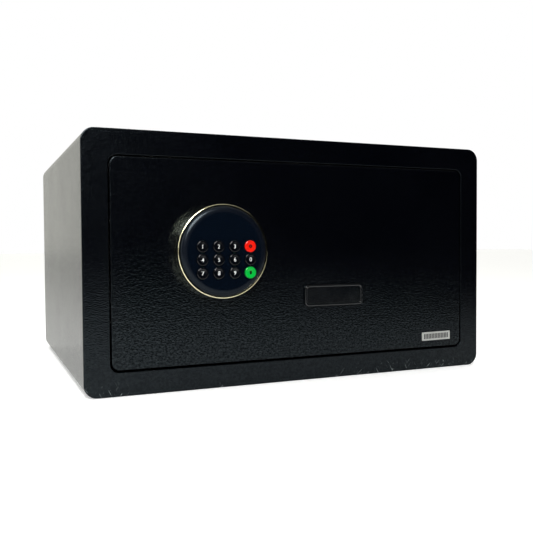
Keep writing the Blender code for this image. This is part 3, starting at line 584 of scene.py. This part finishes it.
def circuit_green():
    """Solder mask with tracks, pads and dark parts."""
    surface = Surface("circuit_board_mask", (0.01, 0.13, 0.05), 0.35)
    tracks = surface.cells(420)
    surface.colour(surface.mix(surface.remap(tracks, 0.42, 0.46), (0.008, 0.10, 0.04), (0.02, 0.24, 0.10)))
    surface.roughness(surface.remap(surface.noise(200), 0.3, 0.7, 0.28, 0.45))
    surface.bump(tracks, 0.00003, 0.4)
    return surface.material


def cell_jacket():
    """The printed jacket of a battery: a dark body with a copper-coloured shoulder."""
    surface = Surface("cell_jacket", (0.03, 0.03, 0.035), 0.28, metallic=0.6)
    along = surface.axis("Z")
    grime = surface.noise(140, 3.0, 0.6)
    surface.colour(surface.mix(surface.remap(along, 0.0130, 0.0132), (0.03, 0.03, 0.035), (0.60, 0.33, 0.14)))
    surface.roughness(surface.remap(grime, 0.3, 0.7, 0.22, 0.38))
    return surface.material


def label_film():
    """Silver film with a row of evenly spaced plain ticks, no lettering."""
    surface = Surface("label_film", (0.48, 0.49, 0.47), 0.38, metallic=0.25)
    along = surface.math("ABSOLUTE", surface.axis("X"), 0)
    ticks = surface.math("GREATER_THAN", surface.math("PINGPONG", along, 0.00105), 0.00032)
    x_inside = surface.math("LESS_THAN", along, 0.0168)
    y_inside = surface.math("LESS_THAN", surface.math("ABSOLUTE", surface.axis("Y"), 0), 0.0029)
    ink = surface.math("MULTIPLY", ticks, surface.math("MULTIPLY", x_inside, y_inside))
    paper = surface.mix(surface.remap(surface.noise(500), 0.3, 0.7), (0.50, 0.51, 0.49), (0.42, 0.43, 0.41))
    surface.colour(surface.mix(ink, paper, (0.045, 0.045, 0.045)))
    surface.roughness(surface.remap(surface.noise(800), 0.3, 0.7, 0.30, 0.45))
    return surface.material


def key_print(name, colour, specular=0.5):
    """Screen-printed ink on a key."""
    surface = Surface(name, colour, 0.40, specular=specular)
    worn = surface.noise(1500, 3.0, 0.6)
    dim = tuple(channel * 0.82 for channel in colour)
    surface.colour(surface.mix(surface.remap(worn, 0.4, 0.7), colour, dim))
    surface.roughness(surface.remap(worn, 0.3, 0.7, 0.34, 0.50))
    return surface.material


MATERIALS = {
    "coat_front": powder_coat("powder_coat_front", scuffed=True, grain_depth=0.05),
    "coat_door": powder_coat("powder_coat_door", grain_depth=0.14),
    "coat": powder_coat("powder_coat", grain_depth=0.05),
    "gold": polished_gold(),
    "face": keypad_plastic(),
    "key_black": gloss_plastic("key_plastic_black", (0.0010, 0.0014, 0.0026), (0.0020, 0.0026, 0.0040),
                               0.12, 0.32, dull_flanks=True),
    "key_red": gloss_plastic("key_plastic_red", (0.80, 0.012, 0.004), (0.68, 0.008, 0.003), 0.14, 0.32),
    "key_green": gloss_plastic("key_plastic_green", (0.001, 0.44, 0.046), (0.001, 0.35, 0.036),
                               0.14, 0.32),
    "cover": gloss_plastic("cover_plastic", (0.0022, 0.0030, 0.0040), (0.0032, 0.0042, 0.0054),
                           0.12, 0.60, dust_gloss=0.05),
    "matte": matte_plastic("matte_black_plastic", (0.018, 0.018, 0.019), (0.026, 0.026, 0.027)),
    "nylon": matte_plastic("natural_nylon", (0.76, 0.76, 0.70), (0.68, 0.68, 0.62)),
    "zinc": zinc_plate(),
    "chrome": chrome_plate(),
    "brass": machined_brass(),
    "carpet": felt_carpet(),
    "circuit": circuit_green(),
    "cell": cell_jacket(),
    "label": label_film(),
    "white_ink": key_print("white_ink", (0.86, 0.87, 0.86)),
    "dark_ink": key_print("dark_ink", (0.004, 0.003, 0.003), 0.08),
}


# ---------------------------------------------------------------- cabinet

def outer_loop(inset, y):
    """The cabinet's outline, drawn in by an inset, at a depth."""
    points = rounded_loop(-WIDTH / 2 + inset, inset, WIDTH / 2 - inset, HEIGHT - inset, CORNER_RADIUS - inset)
    return [(x, y, z) for x, z in points]


def opening_loop(outset, y):
    """The door opening's outline, drawn out by an outset, at a depth."""
    left, bottom, right, top = OPENING
    points = rounded_loop(left - outset, bottom - outset, right + outset, top + outset,
                          DOOR_RADIUS + DOOR_GAP + outset)
    return [(x, y, z) for x, z in points]


def make_cabinet():
    """Wrapper and front frame as one painted skin."""
    edge = 0.0009
    lip = 0.0006
    frame_rear = FRONT + FRAME_THICKNESS
    rear_edge = 0.0008
    seam = 0.0006
    loops = [outer_loop(inset, REAR + y) for inset, y in quarter((rear_edge, 0), (0, -rear_edge), "X", 4)]
    loops += [outer_loop(inset, FRONT + y) for inset, y in quarter((0, edge), (edge, 0), "Y", 6)]
    loops += [opening_loop(outset, FRONT + y) for outset, y in quarter((lip, 0), (0, lip), "X", 4)]
    loops += [opening_loop(0, frame_rear), outer_loop(SHELL_WALL, frame_rear)]
    loops += [outer_loop(inset, REAR + y)
              for inset, y in quarter((SHELL_WALL, -seam), (SHELL_WALL - seam, 0), "Y", 3)]
    cabinet = new_object("cabinet_skin", skin_mesh("cabinet_skin", loops, wrap=True), MATERIALS["coat_front"])
    subtract(cabinet, ANCHORS, ANCHOR_RADIUS, -0.001, 0.004)
    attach(cabinet, "cabinet")
    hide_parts("body_shell", "front_frame")


def make_rear_panel():
    """The flush rear panel, with an edge that shows as a seam, and its two anchor holes."""
    low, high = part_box("rear_panel")
    half_width = (high.x - low.x) / 2
    half_height = (high.z - low.z) / 2
    edge = rounded_loop(-half_width, -half_height, half_width, half_height, CORNER_RADIUS - SHELL_WALL)
    holes = [circle(side * 0.100, 0, ANCHOR_RADIUS, 40) for side in (-1, 1)]
    panel = new_object("rear_sheet", plate_mesh("rear_sheet", [edge, *holes], SHELL_WALL, 0.0006),
                       MATERIALS["coat"])
    face_front(panel, 0, (low.y + high.y) / 2, (low.z + high.z) / 2)
    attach(panel, "cabinet")
    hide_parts("rear_panel")


def make_mat():
    """The needle-felt mat, laid on the floor of the safe, with holes over the anchors."""
    low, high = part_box("floor_mat")
    cell = 0.0035
    bm = bmesh.new()
    bmesh.ops.create_grid(bm, x_segments=round((high.x - low.x) / cell),
                          y_segments=round((high.y - low.y) / cell),
                          size=0.5)
    for vert in bm.verts:
        vert.co.x *= high.x - low.x
        vert.co.y *= high.y - low.y
    rim = [edge for edge in bm.edges if edge.is_boundary]
    skirt = bmesh.ops.extrude_edge_only(bm, edges=rim)["geom"]
    for vert in (item for item in skirt if isinstance(item, bmesh.types.BMVert)):
        vert.co.z = low.z - high.z
    bmesh.ops.holes_fill(bm, edges=[edge for edge in bm.edges if edge.is_boundary])
    mat = new_object("felt_mat", closed_mesh("felt_mat", bm), MATERIALS["carpet"], weighted=False)
    middle = (low + high) / 2
    mat.location = (middle.x, middle.y, high.z)
    subtract(mat, [(x - middle.x, y - middle.y) for x, y in ANCHORS], ANCHOR_RADIUS + 0.002, -0.004, 0.002)
    texture = bpy.data.textures.new("felt", "CLOUDS")
    texture.noise_scale = 0.012
    texture.noise_depth = 2
    waves = mat.modifiers.new("uneven felt", "DISPLACE")
    waves.texture = texture
    waves.texture_coords = "LOCAL"
    waves.direction = "Z"
    waves.strength = 0.0005
    waves.mid_level = 0.6
    apply_modifiers(mat)
    shade(mat, weighted=False)
    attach(mat, "cabinet")
    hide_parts("floor_mat")


# ---------------------------------------------------------------- door

def make_door():
    """The flush plate with rounded edges, and holes for the keypad, the lock and the cover's pegs."""
    centre_x = (DOOR_LOW.x + DOOR_HIGH.x) / 2
    centre_z = (DOOR_LOW.z + DOOR_HIGH.z) / 2
    half_width = (DOOR_HIGH.x - DOOR_LOW.x) / 2
    half_height = (DOOR_HIGH.z - DOOR_LOW.z) / 2
    edge = rounded_loop(-half_width, -half_height, half_width, half_height, DOOR_RADIUS)
    holes = [(KEYPAD_X, KEYPAD_Z, 0.009), (KEYPAD_X - 0.030, KEYPAD_Z, 0.0022),
             (KEYPAD_X + 0.030, KEYPAD_Z, 0.0022),
             (COVER_CENTRE.x, COVER_CENTRE.z, 0.0083), (COVER_CENTRE.x - PEG_REACH, COVER_CENTRE.z, 0.0023),
             (COVER_CENTRE.x + PEG_REACH, COVER_CENTRE.z, 0.0023)]
    outlines = [edge] + [circle(x - centre_x, z - centre_z, radius) for x, z, radius in holes]
    mesh = plate_mesh("door_front", outlines, DOOR_THICKNESS, 0.0011)
    door = new_object("door_front", mesh, MATERIALS["coat_door"])
    face_front(door, centre_x, FRONT + DOOR_THICKNESS / 2, centre_z)
    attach(door, "door")
    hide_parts("door_plate")


# ---------------------------------------------------------------- keypad

def make_ring():
    """The gold ring, its front edge rounded."""
    inner = RING_RADIUS - RING_WALL
    profile = [(RING_RADIUS, 0.0003)]
    crown = 0.0009
    profile += quarter((RING_RADIUS, RING_HEIGHT - crown), (RING_RADIUS - crown, RING_HEIGHT), "Y", 8)
    profile += [(inner + 0.0001, RING_HEIGHT), (inner, RING_HEIGHT - 0.0001)]
    profile += [(inner, 0.0003)]
    ring = new_object("gold_ring", lathe_mesh("gold_ring", profile, 160, closed=True), MATERIALS["gold"])
    face_front(ring, KEYPAD_X, FRONT, KEYPAD_Z)
    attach(ring, "door")
    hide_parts("keypad_ring")


def key_nodes():
    """The keys' node names."""
    return [name for name in nodes if name.startswith("key_") and name != "key_cover"]


def key_centre(name):
    """A key's centre, X and Z."""
    low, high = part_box(name)
    return (low.x + high.x) / 2, (low.z + high.z) / 2


def make_face():
    """The raised black face with its rolled rim and a hole for each key."""
    skirt = 0.0122
    under = 0.016
    flat = 0.0375
    profile = [(0, FACE_HEIGHT), (flat, FACE_HEIGHT)]
    for step in range(1, 13):
        angle = pi / 2 * step / 12
        profile.append((flat + (FACE_RADIUS - 0.0003 - flat) * sin(angle) ** 0.9,
                        FACE_HEIGHT - 0.0033 * (1 - cos(angle))))
    profile += [(FACE_RADIUS - 0.0001, FACE_HEIGHT - 0.0038), (FACE_RADIUS - 0.0001, skirt)]
    profile += [(FACE_RADIUS - 0.0021, skirt), (FACE_RADIUS - 0.0021, under - 0.0007),
                (FACE_RADIUS - 0.0028, under), (0, under)]
    face = new_object("keypad_front", lathe_mesh("keypad_front", profile, 160), MATERIALS["face"])
    face_front(face, KEYPAD_X, FRONT, KEYPAD_Z)
    centres = [(x - KEYPAD_X, z - KEYPAD_Z) for x, z in map(key_centre, key_nodes())]
    subtract(face, centres, KEY_HOLE_RADIUS, under - 0.001, FACE_HEIGHT + 0.001)
    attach(face, "door")
    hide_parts("keypad_face")


KEY_CREST = 0.0048
KEY_DISH = 0.00040
KEY_ROUNDING = 0.0008


def dish(radius):
    """Height of a key's top above the face: a shallow dish inside its crest."""
    share = min(radius / KEY_CREST, 1)
    return KEY_PROUD - KEY_DISH * (1 - share * share) ** 1.5


def make_keys():
    """Twelve dished keys with printed digits; two plain signs on the coloured ones."""
    signs = {"key_clear": "ring", "key_enter": "bar"}
    finishes = {"key_clear": ("key_red", "dark_ink", "key_red"),
                "key_enter": ("key_green", "dark_ink", "key_green")}
    for name in key_nodes():
        x, z = key_centre(name)
        body_material, ink, slot = finishes.get(name, ("key_black", "white_ink", "key_black"))
        profile = [(KEY_CREST * step / 12, FACE_HEIGHT + dish(KEY_CREST * step / 12)) for step in range(12)]
        top = FACE_HEIGHT + KEY_PROUD
        profile += quarter((KEY_CREST, top), (KEY_RADIUS, top - KEY_ROUNDING), "X", 8)
        bottom = 0.0124
        profile += [(KEY_RADIUS, bottom), (0, bottom)]
        key = new_object(f"{name}_cap", lathe_mesh(f"{name}_cap", profile, 48), MATERIALS[body_material],
                         weighted=False)
        face_front(key, x, FRONT, z)
        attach(key, name)
        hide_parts(name)
        make_legend(name, signs.get(name, name[-1]), x, z, ink)


def text_mesh(name, text):
    """A digit's mesh about its middle."""
    curve = bpy.data.curves.new(name, "FONT")
    curve.body = text
    curve.size = 0.0054
    curve.extrude = 0.00005
    curve.offset = 0.00001
    curve.resolution_u = 4
    source = bpy.data.objects.new(name, curve)
    PIECES.objects.link(source)
    mesh = bpy.data.meshes.new_from_object(source.evaluated_get(bpy.context.evaluated_depsgraph_get()))
    bpy.data.objects.remove(source)
    xs = [vert.co.x for vert in mesh.vertices]
    ys = [vert.co.y for vert in mesh.vertices]
    mesh.transform(Matrix.Translation((-(min(xs) + max(xs)) / 2, -(min(ys) + max(ys)) / 2, 0)))
    return mesh


def sign_mesh(name, sign):
    """A digit, or the plain mark of a coloured key: a ring or a bar."""
    if sign == "ring":
        return plate_mesh(name, [circle(0, 0, 0.0017), circle(0, 0, 0.0005)], 0.0001, 0.00001)
    if sign == "bar":
        return plate_mesh(name, [rounded_loop(-0.0010, -0.0018, 0.0010, 0.0018, 0.0009, 4)], 0.0001, 0.00001)
    return text_mesh(name, sign)


def make_legend(name, sign, x, z, ink):
    """A printed sign that follows the key's dish."""
    bm = bmesh.new()
    bm.from_mesh(sign_mesh(f"{name}_sign", sign))
    bmesh.ops.remove_doubles(bm, verts=bm.verts, dist=0.000005)
    for vert in bm.verts:
        vert.co.z += FACE_HEIGHT + dish(vert.co.xy.length) + 0.00001
    legend = new_object(f"{name}_sign", closed_mesh(f"{name}_sign", bm), MATERIALS[ink], weighted=False)
    face_front(legend, x, FRONT, z)
    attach(legend, name)


# ---------------------------------------------------------------- key cover and label

def make_key_cover():
    """The blank cover: rounded sides, a raised rim, a sunk panel and two pegs behind."""
    half_width = (COVER_HIGH.x - COVER_LOW.x) / 2
    half_height = (COVER_HIGH.z - COVER_LOW.z) / 2
    base = 0.0003
    top = FRONT - COVER_LOW.y
    corner = 0.004

    def loop(inset, height, radius):
        points = rounded_loop(-half_width + inset, -half_height + inset,
                              half_width - inset, half_height - inset,
                              radius, 8)
        return [(x, y, height) for x, y in points]

    loops = [loop(0.0015, 0.0019, 0.0025), loop(0.0015, base, 0.0025), loop(0, base, corner),
             loop(0, top - 0.0010, corner)]
    loops += [loop(inset, height, corner - inset)
              for inset, height in quarter((0, top - 0.0010), (0.0010, top), "Y", 5)]
    loops += [loop(inset, height, 0.003 - (inset - 0.0014) / 2)
              for inset, height in quarter((0.0014, top), (0.0024, top - 0.0007), "X", 4)]
    cap = skin_mesh("key_cover_cap", loops, cap_start=True, cap_end=True)
    peg = [(0, -0.0040), (0.0014, -0.0040), (0.0019, -0.0033), (0.0019, 0.0021), (0, 0.0021)]
    pegs = [moved(lathe_mesh("peg", peg, 24), x, 0, 0) for x in (-PEG_REACH, PEG_REACH)]
    cover = new_object("key_cover_cap", join_meshes("key_cover_cap", [cap, *pegs]), MATERIALS["cover"])
    face_front(cover, (COVER_LOW.x + COVER_HIGH.x) / 2, FRONT, (COVER_LOW.z + COVER_HIGH.z) / 2)
    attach(cover, "key_cover")
    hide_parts("key_cover")


def make_label():
    """The thin label film."""
    width = 0.0383
    height = 0.0094
    edge = rounded_loop(-width / 2, -height / 2, width / 2, height / 2, 0.0005, 4)
    label = new_object("label_film", plate_mesh("label_film", [edge], 0.0002, 0.00003), MATERIALS["label"])
    label.rotation_euler = (radians(90), radians(-0.6), 0)
    label.location = ((LABEL_LOW.x + LABEL_HIGH.x) / 2, (LABEL_LOW.y + LABEL_HIGH.y) / 2 + 0.0001,
                      (LABEL_LOW.z + LABEL_HIGH.z) / 2)
    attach(label, "door")
    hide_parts("door_label")


# ---------------------------------------------------------------- inner side of the door

def make_case_cover():
    """The inner cover with its rounded edges, hatch opening and holes."""
    low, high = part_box("case_cover")
    middle = (low + high) / 2
    hatch_low, hatch_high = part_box("battery_hatch")
    gap = 0.0003
    edge = rounded_loop(low.x - middle.x, low.z - middle.z, high.x - middle.x, high.z - middle.z, 0.004)
    hatch = rounded_loop(hatch_low.x - gap - middle.x, hatch_low.z - gap - middle.z,
                         hatch_high.x + gap - middle.x,
                         hatch_high.z + gap - middle.z, 0.002, 5)[::-1]
    reset = middle_of("reset_button")
    holes = [circle(reset.x - middle.x, reset.z - middle.z, 0.003)]
    for number in range(1, 5):
        screw = middle_of(f"cover_screw_{number}")
        holes.append(circle(screw.x - middle.x, screw.z - middle.z, 0.0018))
    mesh = plate_mesh("inner_cover", [edge, hatch, *holes], high.y - low.y, 0.0004)
    cover = new_object("inner_cover", mesh, MATERIALS["coat"])
    face_front(cover, middle.x, middle.y, middle.z)
    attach(cover, "door")
    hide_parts("case_cover")


def make_cover_screws():
    """Four pan-head screws with a cross recess."""
    profile = [(0, -0.0052), (0.0015, -0.0052), (0.0015, 0), (0.0028, 0), (0.0028, 0.0006)]
    profile += quarter((0.0028, 0.0006), (0, 0.0018), "Y", 8)[1:]
    half_slot = 0.0003
    half_cross = 0.0015
    cross = [((-half_slot, -half_cross, 0.0008), (half_slot, half_cross, 0.003)),
             ((-half_cross, -half_slot, 0.0008), (half_cross, half_slot, 0.003))]
    for number in range(1, 5):
        node = f"cover_screw_{number}"
        centre = middle_of(node)
        screw = new_object(f"pan_screw_{number}", lathe_mesh("pan_screw", profile, 32), MATERIALS["zinc"])
        face_rear(screw, centre.x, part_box(node)[1].y - 0.0018, centre.z)
        for corners in cross:
            drill(screw, boxes_mesh("recess", [corners]))
        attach(screw, "door")
        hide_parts(node)


def make_hatch():
    """The battery hatch: a rounded plate with a finger grip and fine ribs."""
    low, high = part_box("battery_hatch")
    middle = (low + high) / 2
    thickness = 0.0015
    half_width = (high.x - low.x) / 2
    half_height = (high.z - low.z) / 2
    edge = rounded_loop(-half_width, -half_height, half_width, half_height, 0.0018, 5)
    plate = plate_mesh("hatch_plate", [edge], thickness, 0.0004)
    grip_y = half_height + 0.0003 - 0.006
    bars = [((-0.008, grip_y - 0.001, 0), (0.008, grip_y + 0.001, thickness / 2 + 0.002))]
    for rib in range(1, 6):
        rib_y = grip_y - 0.0022 * rib - 0.001
        bars.append(((-0.008, rib_y - 0.0004, 0), (0.008, rib_y + 0.0004, thickness / 2 + 0.0005)))
    grip = bmesh.new()
    for bar_low, bar_high in bars:
        box_shell(grip, bar_low, bar_high)
    bmesh.ops.bevel(grip, geom=list(grip.edges), offset=0.00025, segments=2, affect="EDGES", profile=0.5)
    mesh = join_meshes("hatch_lid", [plate, closed_mesh("grip", grip)])
    mesh.transform(Matrix.Diagonal((1, -1, 1, 1)))
    mesh.flip_normals()
    hatch = new_object("hatch_lid", mesh, MATERIALS["matte"])
    face_rear(hatch, middle.x, low.y + thickness / 2, middle.z)
    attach(hatch, "battery_hatch")
    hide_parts("battery_hatch")


def make_reset_button():
    """The small red button behind the inner cover."""
    profile = [(0, 0.0370), (0.0042, 0.0370), (0.0042, 0.0382), (0.0026, 0.0382), (0.0026, 0.0428)]
    profile += quarter((0.0026, 0.0428), (0.0020, 0.0434), "Y", 4)[1:] + [(0, 0.0434)]
    centre = middle_of("reset_button")
    button = new_object("reset_cap", lathe_mesh("reset_cap", profile, 40), MATERIALS["key_red"])
    face_rear(button, centre.x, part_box("reset_button")[1].y - 0.0434, centre.z)
    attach(button, "reset_button")
    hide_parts("reset_button")


def make_bolts():
    """The two round bolts, their ends rounded over."""
    radius = 0.009
    length = 0.047
    neck = 0.004
    profile = [(0, length), (radius - 0.0022, length)]
    profile += quarter((radius - 0.0022, length), (radius, length - 0.0022), "X", 8)[1:]
    profile += [(radius, 0.0004), (radius - 0.0004, 0), (neck, 0), (neck, -0.0042), (0, -0.0042)]
    for side in ("upper", "lower"):
        low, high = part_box(f"bolt_{side}")
        bolt = new_object(f"round_bolt_{side}", lathe_mesh("round_bolt", profile, 64), MATERIALS["chrome"])
        bolt.rotation_euler = (0, radians(-90), 0)
        bolt.location = (low.x + length, (low.y + high.y) / 2, (low.z + high.z) / 2)
        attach(bolt, "bolt_carriage")
        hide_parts(f"bolt_{side}")


# ---------------------------------------------------------------- carried-over nodes

NODE_FINISHES = {
    "coat": ("lock_case", "hinge_bracket_upper", "hinge_bracket_lower", "hinge_lug_upper", "hinge_lug_lower",
             "hinge_pin_upper", "hinge_pin_lower"),
    "zinc": ("keeper_angle", "keypad_screw_left", "keypad_screw_right", "lock_nut", "motor", "bolt_bar",
             "bolt_rack", "lock_cam"),
    "chrome": ("lock_barrel",),
    "brass": ("drive_gear", "lock_plug"),
    "matte": ("keypad_housing", "gearbox", "battery_tray", "display_module"),
    "nylon": ("bolt_guide_upper", "bolt_guide_lower"),
    "circuit": ("keypad_board", "circuit_board"),
    "cell": ("battery_1", "battery_2", "battery_3", "battery_4"),
}


def finish_nodes():
    """Give each carried-over CAD node its material."""
    for finish, names in NODE_FINISHES.items():
        for name in names:
            node = nodes[name]
            for slot in node.material_slots:
                slot.link = "OBJECT"
                slot.material = MATERIALS[finish]


# ---------------------------------------------------------------- stage, light and camera

CAMERA_PLACE = Vector((-0.31406, -0.82130, 0.14089))
CAMERA_YAW = 0.4023
CAMERA_PITCH = -0.0311
CAMERA_ROLL = -0.0063
CAMERA_LENS = 46.21


def make_camera():
    """The camera at the viewing angle, its lens in millimetres on a 36 mm sensor."""
    forward = Vector((sin(CAMERA_YAW) * cos(CAMERA_PITCH), cos(CAMERA_YAW) * cos(CAMERA_PITCH),
                      sin(CAMERA_PITCH)))
    level = Vector((cos(CAMERA_YAW), -sin(CAMERA_YAW), 0))
    over = level.cross(forward)
    right = level * cos(CAMERA_ROLL) + over * sin(CAMERA_ROLL)
    up = over * cos(CAMERA_ROLL) - level * sin(CAMERA_ROLL)
    data = bpy.data.cameras.new("camera")
    data.lens = CAMERA_LENS
    data.sensor_width = 36
    data.clip_start = 0.01
    camera = bpy.data.objects.new("camera", data)
    bpy.context.scene.collection.objects.link(camera)
    turn = Matrix((right, up, -forward)).transposed().to_4x4()
    camera.matrix_world = Matrix.Translation(CAMERA_PLACE) @ turn
    bpy.context.scene.camera = camera


FLOOR_OUTLINE = [(-12, -0.90), (-0.05, -0.90), (0.28, -0.73),
                 (0.56, -0.56), (0.90, -0.45), (12, -0.45), (12, 14), (-12, 14)]
FLOOR_GLOW = (0.36, 0.36, 0.365, 1)
BRIGHT_SIDE = (-0.55, 0.73, 0.40)
BRIGHT_SIDE_LEVEL = 0.82
DARK_SIDE_LEVEL = 0.002
CEILING_LEVEL = 0.045
WARM_WHITE = (1, 1, 0.92, 1)
KEY_LIGHT_PLACE = (-0.53, -1.58, 1.10)
KEY_LIGHT_AIM = (-0.09, -0.18, 0.13)


def make_floor():
    """A pale table top, cut short in front; to the camera it glows a little, as an overexposed floor."""
    mesh = bpy.data.meshes.new("floor")
    mesh.from_pydata([(x, y, -0.0002) for x, y in FLOOR_OUTLINE], [], [range(len(FLOOR_OUTLINE))])
    floor = bpy.data.objects.new("floor", mesh)
    bpy.context.scene.collection.objects.link(floor)
    surface = Surface("pale_floor", (0.92, 0.92, 0.91), 0.6)
    tone = surface.noise(2.0, 2.0, 0.5)
    surface.colour(surface.mix(surface.remap(tone, 0.3, 0.7), (0.93, 0.93, 0.925), (0.905, 0.905, 0.90)))
    path = surface.node("ShaderNodeLightPath")
    surface.set("Emission Color", FLOOR_GLOW)
    surface.link(path.outputs["Is Camera Ray"], surface.shader.inputs["Emission Strength"])
    floor.data.materials.append(surface.material)


def add_light(name, kind, place, aim, power, seen_by="all"):
    """A light that points from one place at another; it can be kept to glossy or to matt surfaces."""
    data = bpy.data.lights.new(name, kind)
    data.energy = power
    light = bpy.data.objects.new(name, data)
    bpy.context.scene.collection.objects.link(light)
    light.location = place
    light.rotation_euler = (Vector(aim) - Vector(place)).to_track_quat("-Z", "Y").to_euler()
    light.visible_diffuse = seen_by != "gloss"
    light.visible_glossy = seen_by != "matt"
    return data


def world_ramp(tree, source, low, high, to_low, to_high):
    """A smooth step from one brightness to another as a value rises."""
    ramp = tree.nodes.new("ShaderNodeMapRange")
    ramp.interpolation_type = "SMOOTHSTEP"
    for socket, number in zip(MAP_RANGE_SOCKETS, (low, high, to_low, to_high)):
        ramp.inputs[socket].default_value = number
    tree.links.new(source, ramp.inputs["Value"])
    return ramp.outputs["Result"]


def make_world():
    """Bright behind the object and dark before it, with a dim ceiling; the camera itself sees plain white."""
    world = bpy.data.worlds.new("studio")
    bpy.context.scene.world = world
    world.use_nodes = True
    tree = world.node_tree
    background = tree.nodes["Background"]
    place = tree.nodes.new("ShaderNodeTexCoord")
    towards = tree.nodes.new("ShaderNodeVectorMath")
    towards.operation = "DOT_PRODUCT"
    towards.inputs[1].default_value = BRIGHT_SIDE
    tree.links.new(place.outputs["Generated"], towards.inputs[0])
    depth = world_ramp(tree, towards.outputs["Value"], 0.0, 0.45, DARK_SIDE_LEVEL, BRIGHT_SIDE_LEVEL)
    height = tree.nodes.new("ShaderNodeSeparateXYZ")
    tree.links.new(place.outputs["Generated"], height.inputs["Vector"])
    ceiling = world_ramp(tree, height.outputs["Z"], 0.20, 0.75, 0.0, CEILING_LEVEL)
    brighter = tree.nodes.new("ShaderNodeMath")
    brighter.operation = "MAXIMUM"
    tree.links.new(depth, brighter.inputs[0])
    tree.links.new(ceiling, brighter.inputs[1])
    path = tree.nodes.new("ShaderNodeLightPath")
    choose = tree.nodes.new("ShaderNodeMix")
    choose.data_type = "FLOAT"
    tree.links.new(path.outputs["Is Camera Ray"], choose.inputs["Factor"])
    tree.links.new(brighter.outputs["Value"], choose.inputs["A"])
    choose.inputs["B"].default_value = 1.0
    tree.links.new(choose.outputs["Result"], background.inputs["Strength"])
    tint = tree.nodes.new("ShaderNodeMix")
    tint.data_type = "RGBA"
    tree.links.new(path.outputs["Is Camera Ray"], tint.inputs["Factor"])
    tint.inputs[6].default_value = WARM_WHITE
    tint.inputs[7].default_value = (1, 1, 1, 1)
    tree.links.new(tint.outputs[2], background.inputs["Color"])


def add_softbox(name, place, aim, power, width, height, seen_by="all"):
    """A rectangular area light."""
    light = add_light(name, "AREA", place, aim, power, seen_by)
    light.shape = "RECTANGLE"
    light.size = width
    light.size_y = height


def make_stage():
    """Floor, lights and world."""
    make_floor()
    make_world()
    overhead = add_light("overhead", "SUN", (0.75, 0.3, 3), (0, 0, 0), 0.6)
    overhead.angle = radians(80)
    add_light("key_fill", "AREA", KEY_LIGHT_PLACE, KEY_LIGHT_AIM, 27, "matt")
    add_softbox("key_softbox", KEY_LIGHT_PLACE, KEY_LIGHT_AIM, 55, 0.75, 0.75, "gloss")
    add_softbox("left_softbox", (-1.7, -0.15, 0.7), (0, -0.15, 0.15), 6, 0.8, 0.8)
    add_softbox("rear_softbox", (0.9, 2.3, 2.3), (0, 0.2, 0.1), 45, 1.6, 0.7, "gloss")
    add_softbox("right_softbox", (1.9, 0.5, 1.0), (0.2, 0.1, 0.1), 8, 0.5, 0.9, "gloss")
    bpy.context.scene.view_settings.view_transform = "Standard"


make_camera()
make_stage()
make_cabinet()
make_rear_panel()
make_mat()
make_door()
make_ring()
make_face()
make_keys()
make_key_cover()
make_label()
make_case_cover()
make_cover_screws()
make_hatch()
make_reset_button()
make_bolts()
finish_nodes()
